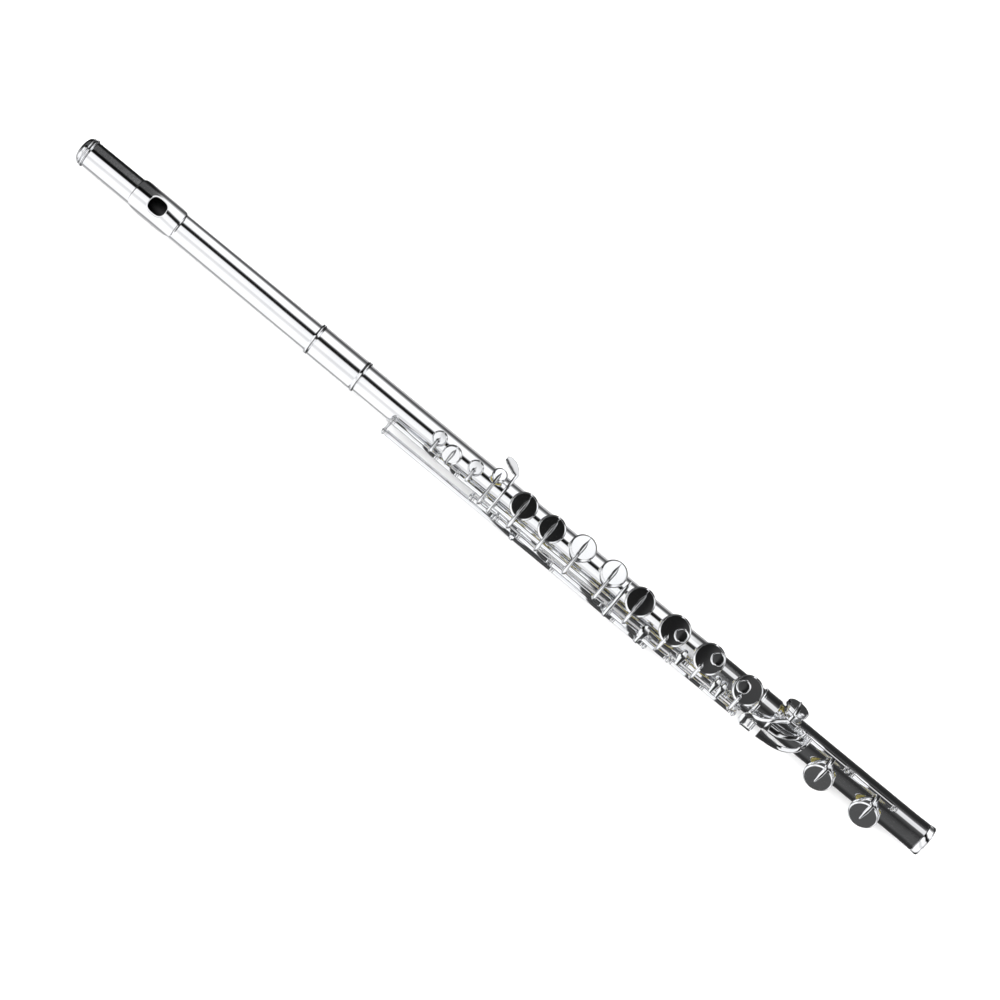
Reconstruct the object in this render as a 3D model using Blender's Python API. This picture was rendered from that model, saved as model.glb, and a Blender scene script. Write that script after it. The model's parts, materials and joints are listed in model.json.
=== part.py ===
"""Concert flute in C, closed hole, offset G, C foot, lying with its keys up.

Shapes are worked out in millimetres in the flute's own frame: x runs from the crown's tip to the
foot's end, the tube's axis is y = z = 0, the keys are on +z and the rods on -y. An empty then puts
the flute in the world, in metres, with the lowest point at z = 0.

Every key is shaped closed, on its seat, and hangs from an empty on its hinge. The empty's turn is
the key's rest position: the keys that stand open are turned open there.
"""

import math

import bmesh
import bpy
from mathutils import Matrix, Vector

MM = 0.001

# Tube
LENGTH = 670.0
BORE = 9.4  # radius
TUBE = 9.7  # outer radius of body and foot
CROWN_END_BORE = 8.5  # the head joint's bore narrows towards the crown
CROWN_END_TUBE = 8.85
TENON_BORE = 9.15
TENON = 9.4
CLEARANCE = 0.3  # between pieces that touch

# Where the joints part, along x
CROWN_LENGTH = 7.0
HEAD_END = 214.0
BARREL_START, BARREL_END = 184.0, 222.7
BODY_START = 216.0
BODY_END = 548.0
FOOT_START = 535.0

# Tone holes: every seat is a short chimney that stands on the tube
SEAT = 12.0  # distance of every seat from the tube's axis
SEAT_LIP = 1.3  # the cup's radius less the chimney's
WIDEST_SEAT = 7.6
CHIMNEY_WALL = 0.7
RIM = 12.6  # bottom of a cup's rim, closed
CUP_SIDE = 14.9
CUP_TOP = 16.0
CUP_WALL = 0.5
PAD_BACK = 14.5
PAD_IN = 0.45  # a pad's clearance inside its cup's wall
BUTTON = 4.5  # radius of a round finger rest
ARM_PLATE = 1.5  # thickness of an arm
TOUCH_PLATE = 1.4  # thickness of a finger's leaf

# Hinge axes (y, z)
MAIN = (-14.4, 5.5)
TRILL = (-9.4, 8.0)
LOWER = (-16.6, 0.0)
THUMB = (-9.4, -9.0)
FOOT = (2.25, 12.85)
SLEEVE = 2.05  # outer radius of a hinge tube
SLEEVE_BORE = 1.25
ROD = 0.9  # steel rod's radius
TRILL_CORE = 0.7
TRILL_MIDDLE = (1.0, 1.35)  # bore and outer radius of the trill rod's inner tube
TRILL_SLEEVE_BORE = 1.65

# Angles
ROW = math.radians(7)  # the main row of tone holes
OFFSET_G = math.radians(20)
KEY_OPEN = math.radians(8)
FOOT_OPEN = math.radians(10)

# Number of facets round each kind of piece
TUBE_SIDES = 24
CUP_SIDES = 16
SMALL_CUP_SIDES = 12
SLEEVE_SIDES = 8
PAD_SIDES = 12

SILVER = ((0.86, 0.87, 0.88), 1.0, 0.14)
STEEL = ((0.62, 0.63, 0.65), 1.0, 0.25)
SKIN = ((0.86, 0.74, 0.42), 0.0, 0.6)
CORK = ((0.55, 0.38, 0.22), 0.0, 0.8)


# ---------------------------------------------------------------- meshes


def mesh_of(bm):
    """Close a bmesh off as a mesh whose faces point out."""
    bmesh.ops.recalc_face_normals(bm, faces=bm.faces)
    mesh = bpy.data.meshes.new("shape")
    bm.to_mesh(mesh)
    bm.free()
    return mesh


def turned(profile, sides):
    """Turn (x, radius) points about the x axis. Points at radius 0 close the ends; without them the
    profile is a loop, and the solid is a ring."""
    bm = bmesh.new()
    rings = []
    for x, radius in profile:
        if radius == 0:
            rings.append([bm.verts.new((x, 0, 0))])
            continue
        turn = math.tau / sides
        rings.append(
            [
                bm.verts.new((x, radius * math.sin(i * turn), radius * math.cos(i * turn)))
                for i in range(sides)
            ]
        )
    solid = profile[0][1] == 0
    for first, second in zip(rings, rings[1:] + ([] if solid else rings[:1])):
        for i in range(sides):
            loop = [
                first[i % len(first)],
                first[(i + 1) % len(first)],
                second[(i + 1) % len(second)],
                second[i % len(second)],
            ]
            corners = list(dict.fromkeys(loop))
            if len(corners) > 2:
                bm.faces.new(corners)
    return mesh_of(bm)


def tube_shape(start, end, bore, outer, sides, axis=(0, 0)):
    """A plain tube, or a rod where the bore is 0, along x."""
    if bore:
        profile = [(start, outer), (end, outer), (end, bore), (start, bore)]
    else:
        profile = [(start, 0), (start, outer), (end, outer), (end, 0)]
    mesh = turned(profile, sides)
    mesh.transform(Matrix.Translation((0, *axis)))
    return mesh


def strip(points, widths, thickness, across=(1, 0, 0)):
    """A bar of rectangular section through the points. Its width lies along the vector across."""
    bm = bmesh.new()
    route = [Vector(p) for p in points]
    sections = []
    for i, point in enumerate(route):
        ahead = (route[min(i + 1, len(route) - 1)] - route[max(i - 1, 0)]).normalized()
        side = Vector(across)
        side = (side - ahead * side.dot(ahead)).normalized()
        up = side.cross(ahead)
        half = widths[i] / 2
        corners = ((-half, -1), (half, -1), (half, 1), (-half, 1))
        sections.append([bm.verts.new(point + side * a + up * b * thickness / 2) for a, b in corners])
    for first, second in zip(sections, sections[1:]):
        for i in range(4):
            j = (i + 1) % 4
            bm.faces.new((first[i], first[j], second[j], second[i]))
    bm.faces.new(sections[0])
    bm.faces.new(sections[-1])
    bmesh.ops.triangulate(bm, faces=bm.faces)
    return mesh_of(bm)


def arc_plate(start, end, inner, outer, first, last, steps):
    """A plate bent round the tube from angle first to last, along x."""
    bm = bmesh.new()
    sections = []
    for i in range(steps + 1):
        angle = first + (last - first) * i / steps
        corners = ((start, inner), (end, inner), (end, outer), (start, outer))
        sections.append(
            [bm.verts.new((x, r * math.sin(angle), r * math.cos(angle))) for x, r in corners]
        )
    for one, two in zip(sections, sections[1:]):
        for i in range(4):
            j = (i + 1) % 4
            bm.faces.new((one[i], one[j], two[j], two[i]))
    bm.faces.new(sections[0])
    bm.faces.new(sections[-1])
    return mesh_of(bm)


def boolean(base, tool, operation):
    """The base mesh joined with the tool mesh, or cut by it, as a new mesh."""
    pair = [bpy.data.objects.new("operand", mesh) for mesh in (base, tool)]
    for operand in pair:
        bpy.context.scene.collection.objects.link(operand)
    modifier = pair[0].modifiers.new("Boolean", "BOOLEAN")
    modifier.operation = operation
    modifier.solver = "EXACT"
    modifier.object = pair[1]
    depsgraph = bpy.context.evaluated_depsgraph_get()
    result = bpy.data.meshes.new_from_object(pair[0].evaluated_get(depsgraph))
    for operand in pair:
        bpy.data.objects.remove(operand)
    return result


def fused(pieces):
    """One mesh of pieces that overlap, as soldered ones do."""
    result = pieces[0]
    for piece in pieces[1:]:
        result = boolean(result, piece, "UNION")
    return result


def cut(base, tools):
    """The base mesh without the tools."""
    for tool in tools:
        base = boolean(base, tool, "DIFFERENCE")
    return base


def joined(pieces):
    """Pieces that don't touch each other in one mesh, to cut or join with in one step."""
    bm = bmesh.new()
    for piece in pieces:
        bm.from_mesh(piece)
    return mesh_of(bm)


# ---------------------------------------------------------------- objects


def empty(name, location, parent=None, turn=0.0):
    """An empty at a place in millimetres, turned about x."""
    holder = bpy.data.objects.new(name, None)
    holder.location = Vector(location) * MM
    holder.rotation_euler = (turn, 0, 0)
    holder.parent = parent
    bpy.context.scene.collection.objects.link(holder)
    return holder


def material(name, finish):
    """A Principled material of the piece's own."""
    colour, metallic, roughness = finish
    made = bpy.data.materials.new(name)
    made.use_nodes = True
    shader = made.node_tree.nodes["Principled BSDF"]
    shader.inputs["Base Color"].default_value = (*colour, 1)
    shader.inputs["Metallic"].default_value = metallic
    shader.inputs["Roughness"].default_value = roughness
    return made


def add(name, mesh, finish, pivot):
    """An object of a mesh in millimetres, under the empty it moves with."""
    centre = pivot.location if pivot.parent else Vector()
    mesh.transform(Matrix.Translation(-centre) @ Matrix.Scale(MM, 4))
    mesh.name = name
    mesh.materials.clear()
    mesh.materials.append(material(f"{name}_finish", finish))
    mesh.shade_smooth()
    mesh.set_sharp_from_angle(angle=math.radians(35))
    piece = bpy.data.objects.new(name, mesh)
    piece.parent = pivot
    bpy.context.scene.collection.objects.link(piece)
    return piece


# ---------------------------------------------------------------- key work


def radial(x, angle):
    """The matrix that stands an x-turned shape on the tube, at an angle from +z towards +y."""
    out = Matrix.Rotation(-angle, 4, "X") @ Matrix.Rotation(-math.pi / 2, 4, "Y")
    return Matrix.Translation((x, 0, 0)) @ out


def over(angle, across, height):
    """(y, z) of a point at a height over the tube's axis and a distance across, for a tilted cup."""
    y = across * math.cos(angle) + height * math.sin(angle)
    z = -across * math.sin(angle) + height * math.cos(angle)
    return y, z


def cup(x, angle, radius):
    """A key cup: a shallow domed cap with a pocket for its pad."""
    profile = [
        (PAD_BACK + CLEARANCE, 0),
        (PAD_BACK + CLEARANCE, radius - CUP_WALL),
        (RIM, radius - CUP_WALL),
        (RIM, radius),
        (CUP_SIDE, radius),
        (CUP_SIDE + 0.7, radius - 0.6),
        (CUP_TOP - 0.1, radius * 0.5),
        (CUP_TOP, 0),
    ]
    mesh = turned(profile, CUP_SIDES if radius > 6 else SMALL_CUP_SIDES)
    mesh.transform(radial(x, angle))
    return mesh


def pad(x, angle, radius):
    """The felt pad in a cup, with its face just clear of the seat."""
    profile = [
        (SEAT + CLEARANCE, 0),
        (SEAT + CLEARANCE, radius - CUP_WALL - PAD_IN),
        (PAD_BACK, radius - CUP_WALL - PAD_IN),
        (PAD_BACK, 0),
    ]
    mesh = turned(profile, PAD_SIDES)
    mesh.transform(radial(x, angle))
    return mesh


def seat_radius(cup_radius):
    return min(cup_radius - SEAT_LIP, WIDEST_SEAT)


def chimney(x, angle, radius):
    """The outside of a seat under a cup of this radius, from inside the bore."""
    mesh = tube_shape(4.0, SEAT, 0, seat_radius(radius), SMALL_CUP_SIDES)
    mesh.transform(radial(x, angle))
    return mesh


def tone_hole(x, angle, radius):
    """The hole through a seat."""
    mesh = tube_shape(2.5, SEAT + 1, 0, seat_radius(radius) - CHIMNEY_WALL, SMALL_CUP_SIDES)
    mesh.transform(radial(x, angle))
    return mesh


def button(x, angle, across):
    """The low round finger rest on top of a cup."""
    profile = [
        (CUP_TOP - 0.9, 0),
        (CUP_TOP - 0.9, BUTTON - 0.3),
        (CUP_TOP + 1.0, BUTTON),
        (CUP_TOP + 1.4, BUTTON - 0.4),
        (CUP_TOP + 1.1, BUTTON - 1.0),
        (CUP_TOP + 1.0, 0),
    ]
    mesh = turned(profile, SMALL_CUP_SIDES)
    y, z = over(angle, across, 0)
    mesh.transform(Matrix.Translation((0, y, z)) @ radial(x, angle))
    return mesh


def route(x, points):
    """Points (y, z) in the plane at x."""
    return [(x, y, z) for y, z in points]


def pointed_arm(x, angle, radius, rise, reach=0.95):
    """The arm that climbs from the hinge tube and ends in a point, at its reach across the cup."""
    near = 0.85
    over_cup = [
        over(angle, -near * radius, CUP_TOP - 0.1),
        over(angle, (reach - near) / 2 * radius, CUP_TOP + 0.3),
        over(angle, reach * radius, CUP_TOP - 0.1),
    ]
    widths = [3.2] + [2.4] * (len(rise) - 1) + [2.4, 3.0, 0.7]
    return strip(route(x, rise + over_cup), widths, ARM_PLATE)


MAIN_RISE = [(-14.9, 7.0), (-15.0, 9.8), (-12.6, 13.4)]
TRILL_RISE = [(-9.6, 9.2), (-9.2, 13.2)]


def shaft(spans, axis):
    """A rod along x that changes radius: the spans are (start, end, radius), end to end."""
    profile = [(spans[0][0], 0)]
    for start, end, radius in spans:
        profile += [(start, radius), (end, radius)]
    profile.append((spans[-1][1], 0))
    mesh = turned(profile, SLEEVE_SIDES)
    mesh.transform(Matrix.Translation((0, *axis)))
    return mesh


def key(name, axis, spans, parts, rest, flute, cups=(), bores=()):
    """A key as one soldered piece, and its pads: a hinge tube of stepped spans, parts and cups.

    A bore is (start, end, radius), cut last.
    """
    mesh = fused([shaft(spans, axis)] + parts + [cup(*place) for place in cups])
    mesh = cut(mesh, [tube_shape(a, b, 0, r, SLEEVE_SIDES, axis) for a, b, r in bores])
    hinge = empty(f"{name}_hinge", (0, *axis), flute, rest)
    add(name, mesh, SILVER, hinge)
    stem = name.removesuffix("_key")
    for i, place in enumerate(cups):
        number = f"_{i + 1}" if len(cups) > 1 else ""
        add(f"{stem}_pad{number}", pad(*place), SKIN, hinge)
    return hinge


def through(start, end):
    """The bore of a hinge tube, past both its ends."""
    return [(start - 1, end + 1, SLEEVE_BORE)]


# Cups as (x, angle, radius)
D_SHARP_TRILL_CUP = (283.3, 0, 5.0)
C_SHARP_TRILL_CUP = (295.3, math.radians(-12), 6.3)
D_TRILL_CUP = (311.6, 0, 5.2)
C_CUP = (325.9, math.radians(29), 4.9)
A_SHARP_CUP = (349.1, ROW, 9.0)
A_CUP = (371.0, ROW, 9.0)
G_CUPS = ((393.1, OFFSET_G, 8.8), (417.3, OFFSET_G, 8.8))
F_SHARP_CUP = (440.7, ROW, 9.6)
F_CUP = (468.1, ROW, 10.2)
E_CUP = (495.3, ROW, 10.2)
D_CUP = (525.3, ROW, 9.8)
THUMB_CUP = (338.5, math.pi, 7.4)
G_SHARP_CUP = (393.1, math.pi, 7.4)
EB_CUP = (557.0, math.radians(62), 8.0)
LOW_C_SHARP_CUP = (592.4, math.radians(-55), 10.0)
LOW_C_CUP = (628.0, math.radians(-55), 10.0)
BODY_CUPS = (
    D_SHARP_TRILL_CUP,
    C_SHARP_TRILL_CUP,
    D_TRILL_CUP,
    C_CUP,
    A_SHARP_CUP,
    A_CUP,
    *G_CUPS,
    F_SHARP_CUP,
    F_CUP,
    E_CUP,
    D_CUP,
    THUMB_CUP,
    G_SHARP_CUP,
)
FOOT_CUPS = (EB_CUP, LOW_C_SHARP_CUP, LOW_C_CUP)


def trill_keys(flute):
    """Three closed keys on one line: a steel core, a tube on it and a short outer tube on that."""

    def touch(x, width):
        stem = strip(route(x, [(-9.6, 9.2), (-9.3, 12.6)]), [2.4, 2.4], TOUCH_PLATE)
        leaf_route = route(x, [(-5.6, 12.9), (-9.0, 13.4), (-14.8, 12.4)])
        return [stem, strip(leaf_route, [width * 0.7, width, width * 0.6], TOUCH_PLATE)]

    x, angle, radius = D_SHARP_TRILL_CUP
    key(
        "d_sharp_trill_key",
        TRILL,
        [
            (253.0, 255.2, TRILL_CORE),
            (255.2, 288.8, SLEEVE),
            (288.8, 510.9, TRILL_CORE),
            (510.9, 516.4, SLEEVE),
            (516.4, 519.4, TRILL_CORE),
        ],
        [pointed_arm(x, angle, radius, TRILL_RISE, 0.1)] + touch(513.0, 4.0),
        0,
        flute,
        [D_SHARP_TRILL_CUP],
    )
    x, angle, radius = C_SHARP_TRILL_CUP
    rise = [(-9.4, 9.2), (-9.6, 12.0), (-9.4, 14.6)]
    key(
        "c_sharp_trill_key",
        TRILL,
        [(289.2, 305.0, SLEEVE), (305.0, 487.2, TRILL_MIDDLE[1]), (487.2, 510.5, SLEEVE)],
        [pointed_arm(x, angle, radius, rise)] + touch(508.2, 4.0),
        0,
        flute,
        [C_SHARP_TRILL_CUP],
        [(288.0, 512.0, TRILL_MIDDLE[0])],
    )
    x, angle, radius = D_TRILL_CUP
    key(
        "d_trill_key",
        TRILL,
        [(305.4, 486.8, SLEEVE)],
        [pointed_arm(x, angle, radius, TRILL_RISE, 0.1)] + touch(481.7, 5.0),
        0,
        flute,
        [D_TRILL_CUP],
        [(304.0, 488.0, TRILL_SLEEVE_BORE)],
    )


def c_key(flute):
    """The small cup on the far side, and the curved first-finger rest that stands out beyond it."""
    x, angle, radius = C_CUP
    over_cup = [
        over(angle, -radius * 0.6, CUP_TOP + 0.3),
        over(angle, radius * 0.2, CUP_TOP + 0.1),
    ]
    arm_route = route(x, [*MAIN_RISE, (-6.0, 15.8), (0.5, 17.4), *over_cup])
    arm = strip(arm_route, [3.0, 2.2, 2.2, 2.2, 2.2, 2.4, 1.0], ARM_PLATE)
    crossing = [*MAIN_RISE, (-6.0, 15.6), (2.0, 15.6), (9.5, 13.6), (14.0, 11.2)]
    touch_arm = strip(route(334.0, crossing), [3.0, 1.8, 1.8, 1.8, 1.8, 2.0, 2.4], ARM_PLATE)
    rest = strip(
        [
            (334.4, 13.2, 11.8),
            (331.5, 15.2, 11.2),
            (328.0, 17.2, 10.9),
            (325.0, 18.4, 11.1),
            (322.6, 18.8, 11.8),
        ],
        [2.0, 4.6, 6.0, 4.6, 2.4],
        TOUCH_PLATE,
        (0.2, 1, -0.35),
    )
    span = (322.1, 338.5)
    parts = [arm, touch_arm, rest]
    key("c_key", MAIN, [(*span, SLEEVE)], parts, KEY_OPEN, flute, [C_CUP], through(*span))


def main_row(flute):
    """The open keys over the tube's top, on the main rods."""
    rows = (
        ("a_sharp_key", (A_SHARP_CUP,), (341.5, 358.0)),
        ("a_key", (A_CUP,), (358.4, 382.0)),
        ("g_key", G_CUPS, (384.0, 424.0)),
        ("f_sharp_key", (F_SHARP_CUP,), (430.5, 455.0)),
    )
    for name, cups, span in rows:
        arms = [pointed_arm(*place, MAIN_RISE) for place in cups]
        key(name, MAIN, [(*span, SLEEVE)], arms, KEY_OPEN, flute, cups, through(*span))
    buttoned = (
        ("f_key", F_CUP, (455.4, 474.6), (4.9, 0.0)),
        ("e_key", E_CUP, (478.4, 503.0), (4.0, 3.0)),
        ("d_key", D_CUP, (503.4, 526.0), (-3.4, 0.0)),
    )
    for name, place, span, (along, across) in buttoned:
        x, angle, radius = place
        parts = [
            pointed_arm(x - 1.5, angle, radius, MAIN_RISE, -0.45),
            button(x + along, angle, across),
        ]
        key(name, MAIN, [(*span, SLEEVE)], parts, KEY_OPEN, flute, [place], through(*span))


def lower_keys(flute):
    """The side B flat lever and, on a sleeve round it, the G sharp key with its seat underneath."""
    oval = strip(
        route(454.1, [(-7.8, 11.6), (-9.6, 12.2), (-12.4, 12.4), (-15.2, 11.8), (-16.4, 10.8)]),
        [3.0, 5.4, 6.2, 5.0, 2.6],
        1.6,
    )
    stem_route = route(454.0, [(-17.2, 0.4), (-19.2, 4.6), (-18.2, 9.0), (-14.2, 12.1)])
    stem = strip(stem_route, [3.2, 2.4, 2.3, 2.2], 1.3)
    lug = strip(route(355.4, [(-17.2, 0.4), (-19.0, 5.0), (-18.0, 8.6)]), [3.0, 2.4, 2.4], ARM_PLATE)
    key(
        "side_b_flat_lever",
        LOWER,
        [
            (253.0, 255.2, ROD),
            (255.2, 386.8, SLEEVE),
            (386.8, 435.4, ROD),
            (435.4, 458.6, SLEEVE),
            (458.6, 461.4, ROD),
        ],
        [stem, oval, lug],
        0,
        flute,
    )
    x, angle, radius = G_SHARP_CUP
    under = [(-16.6, -1.2), (-15.4, -7.6), (-10.6, -13.6)]
    across_cup = [
        over(angle, s * radius, CUP_TOP + h) for s, h in ((0.85, -0.1), (0, 0.3), (-0.8, -0.3))
    ]
    arm = strip(route(x, under + across_cup), [3.2, 2.6, 2.4, 2.4, 2.6, 1.0], ARM_PLATE)
    rise = [(-17.2, 0.4), (-18.9, 4.8), (-18.2, 10.0), (-14.0, 14.4)]
    touch_route = route(428.65, [*rise, (-7.0, 17.0), (1.0, 17.8), (6.5, 17.2)])
    touch = strip(touch_route, [2.6, 2.4, 2.4, 2.4, 2.4, 2.2, 1.0], ARM_PLATE)
    key(
        "g_sharp_key",
        LOWER,
        [(387.2, 435.0, SLEEVE)],
        [arm, touch],
        0,
        flute,
        [G_SHARP_CUP],
        through(387.2, 435.0),
    )


def thumb_keys(flute):
    """The thumb's B natural key, which covers the hole underneath, and its B flat lever."""
    x, angle, radius = THUMB_CUP
    rise = [(-9.6, -10.2), (-9.4, -13.4)]
    across_cup = [
        over(angle, s * radius, CUP_TOP + h) for s, h in ((0.85, -0.2), (0, 0.4), (-0.8, -0.3))
    ]
    arm = strip(route(x, rise + across_cup), [3.0, 2.4, 2.4, 2.6, 1.0], ARM_PLATE)
    leaf_route = [(-9.4, -10.2), (-9.0, -13.8), (-4.0, -15.4), (3.0, -15.6), (8.5, -13.6)]
    leaf = strip(route(351.0, leaf_route), [5.0, 7.0, 8.4, 8.0, 4.0], TOUCH_PLATE)
    span = (331.0, 356.0)
    tubes = [(*span, SLEEVE)]
    key("thumb_b_key", THUMB, tubes, [arm, leaf], -KEY_OPEN, flute, [THUMB_CUP], through(*span))
    leaf = strip(route(362.2, leaf_route), [4.0, 5.0, 7.0, 7.6, 4.0], TOUCH_PLATE)
    span = (356.4, 372.0)
    tubes = [(*span, SLEEVE)]
    key("thumb_b_flat_lever", THUMB, tubes, [leaf], -KEY_OPEN, flute, (), through(*span))


def foot_keys(flute):
    """The foot's three keys. Low C's core passes through low C sharp's hinge tube."""
    x, angle, radius = EB_CUP
    over_cup = [over(angle, -radius * 0.6, CUP_TOP + 0.3), over(angle, radius * 0.8, CUP_TOP)]
    arm_route = route(x, [(2.8, 14.2), (6.4, 16.6), *over_cup])
    arm = strip(arm_route, [3.0, 2.6, 2.8, 1.0], ARM_PLATE)
    touch_arm = strip(
        [
            (555.6, 1.4, 14.4),
            (549.4, -3.6, 14.4),
            (543.8, -7.4, 12.9),
            (538.4, -9.2, 12.1),
            (534.6, -11.6, 11.5),
        ],
        [3.0, 2.4, 2.4, 3.0, 4.4],
        ARM_PLATE,
        (0.6, 1, 0.3),
    )
    leaf = strip(
        [(535.0, -9.6, 11.8), (534.3, -12.4, 11.3), (534.5, -15.6, 10.3), (535.4, -18.0, 9.1)],
        [2.4, 5.0, 5.4, 2.4],
        TOUCH_PLATE,
    )
    fork = [
        strip([(535.4, y, z), (539.0, y, z), (542.2, y, z)], [1.0, 1.0, 1.0], 2.4, (0, 1, 0))
        for y, z in ((-9.9, 11.3), (-17.3, 9.5))
    ]
    parts = [arm, touch_arm, leaf, *fork]
    span = (553.2, 563.6)
    key("e_flat_key", FOOT, [(*span, SLEEVE)], parts, 0, flute, [EB_CUP], through(*span))

    wedge = strip(
        [
            (574.0, 1.6, 14.0),
            (573.6, -4.0, 14.4),
            (571.0, -9.6, 13.0),
            (563.5, -13.8, 11.2),
            (555.0, -15.0, 10.5),
            (546.6, -15.0, 10.1),
        ],
        [2.8, 2.6, 2.6, 3.2, 4.4, 5.8],
        ARM_PLATE,
        (0.3, 1, 0.3),
    )
    parts = [pointed_foot_arm(LOW_C_SHARP_CUP), wedge]
    span = (571.8, 602.2)
    key(
        "low_c_sharp_key",
        FOOT,
        [(*span, SLEEVE)],
        parts,
        -FOOT_OPEN,
        flute,
        [LOW_C_SHARP_CUP],
        through(*span),
    )

    plate = strip(
        [
            (569.0, 1.8, 14.0),
            (567.4, -2.6, 14.8),
            (562.0, -6.8, 14.0),
            (556.0, -8.8, 13.0),
            (550.2, -9.2, 12.7),
        ],
        [2.8, 2.4, 3.0, 4.2, 4.4],
        ARM_PLATE,
        (0.3, 1, 0.2),
    )
    key(
        "low_c_key",
        FOOT,
        [
            (565.6, 566.9, ROD),
            (566.9, 571.4, SLEEVE),
            (571.4, 607.4, ROD),
            (607.4, 639.4, SLEEVE),
            (639.4, 642.6, ROD),
        ],
        [pointed_foot_arm(LOW_C_CUP), plate],
        -FOOT_OPEN,
        flute,
        [LOW_C_CUP],
    )


def pointed_foot_arm(place):
    """The arm from the foot's rod out over a cup on the near side."""
    x, angle, radius = place
    over_cup = [
        over(angle, s * radius, CUP_TOP + h) for s, h in ((0.96, 0.6), (0.4, 0.4), (-0.3, 0.0))
    ]
    arm_route = route(x, [(1.2, 14.2), (-3.0, 17.2), *over_cup])
    return strip(arm_route, [3.0, 2.4, 2.4, 2.4, 1.0], ARM_PLATE)


def roller(flute):
    """The roller at the E flat key's touch, on its own axle line."""
    start, end = Vector((540.9, -10.5, 11.1)), Vector((540.9, -16.7, 9.7))
    line = end - start
    last = line.length
    profile = [
        (CLEARANCE, 0),
        (CLEARANCE, 1.5),
        (0.9, 2.0),
        (last - 0.9, 2.0),
        (last - CLEARANCE, 1.5),
        (last - CLEARANCE, 0),
    ]
    mesh = turned(profile, SMALL_CUP_SIDES)
    mesh.transform(Matrix.Translation(start) @ line.to_track_quat("X", "Z").to_matrix().to_4x4())
    return mesh


# ---------------------------------------------------------------- tubes


def bored(outside, bore, cups):
    """A tube with its seats, its bore and its tone holes."""
    mesh = boolean(outside, joined([chimney(*place) for place in cups]), "UNION")
    return cut(mesh, [bore, joined([tone_hole(*place) for place in cups])])


def body_tube():
    outside = tube_shape(BODY_START, BODY_END, 0, TUBE, TUBE_SIDES)
    bore = tube_shape(BODY_START - 5, BODY_END + 5, 0, BORE, TUBE_SIDES)
    return bored(outside, bore, BODY_CUPS)


def foot_tube():
    """The foot joint: a socket for the body's tenon, the tube and its end ring."""
    socket, ring, end_ring = 10.6, 11.0, 10.4
    outside = turned(
        [
            (FOOT_START, 0),
            (FOOT_START, ring),
            (FOOT_START + 2.6, ring),
            (FOOT_START + 3.0, socket),
            (BODY_END - 0.6, socket),
            (BODY_END + 1.4, TUBE),
            (LENGTH - 7.0, TUBE),
            (LENGTH - 5.6, end_ring),
            (LENGTH - 0.5, end_ring),
            (LENGTH, end_ring - 0.4),
            (LENGTH, 0),
        ],
        TUBE_SIDES,
    )
    bore = turned(
        [
            (FOOT_START - 5, 0),
            (FOOT_START - 5, TUBE + CLEARANCE),
            (BODY_END + CLEARANCE, TUBE + CLEARANCE),
            (BODY_END + CLEARANCE + 0.2, BORE),
            (LENGTH + 5, BORE),
            (LENGTH + 5, 0),
        ],
        TUBE_SIDES,
    )
    return bored(outside, bore, FOOT_CUPS)


EMBOUCHURE_X = 60.5
EMBOUCHURE = (6.0, 5.0)  # half length and half width of the blow hole
RISER_WALL = 0.8
HEAD_AT_LIP = 9.05  # the head tube's outer radius under the plate
LIP_HALF_LENGTH = 17.9
LIP_HALF_ANGLE = math.radians(84)
LIP_TOP = 12.0
LIP_EDGE = 10.35  # the plate's outer radius at its sides
LIP_PLATE = 0.9  # its thickness
LIP_ROUND = 3.2  # power of its rounded outline


def oval_rod(half_length, half_width, low, high):
    """An upright oval prism under and over the blow hole."""
    mesh = tube_shape(low, high, 0, 1.0, 24)
    mesh.transform(radial(0, 0))
    scale = Matrix.Diagonal((half_length, half_width, 1, 1))
    mesh.transform(Matrix.Translation((EMBOUCHURE_X, 0, 0)) @ scale)
    return mesh


def head_profile():
    """(x, outer radius, bore) of the head joint."""
    return [
        (CROWN_LENGTH + CLEARANCE, CROWN_END_TUBE, CROWN_END_BORE),
        (BARREL_START - 30, TENON, TENON_BORE),
        (HEAD_END, TENON, TENON_BORE),
    ]


def head_tube():
    profile = [(x, outer) for x, outer, _ in head_profile()]
    profile += [(x, bore) for x, _, bore in reversed(head_profile())]
    half_length, half_width = EMBOUCHURE
    return cut(turned(profile, TUBE_SIDES), [oval_rod(half_length, half_width, 2.0, 14.0)])


def riser():
    """The wall between the tube and the lip plate, round the blow hole."""
    half_length, half_width = EMBOUCHURE
    wall = oval_rod(half_length + RISER_WALL, half_width + RISER_WALL, 4.0, LIP_TOP - 0.5)
    tube = tube_shape(0, BARREL_START, 0, HEAD_AT_LIP + CLEARANCE, TUBE_SIDES)
    return cut(wall, [oval_rod(half_length, half_width, 0.0, 14.0), tube])


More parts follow.
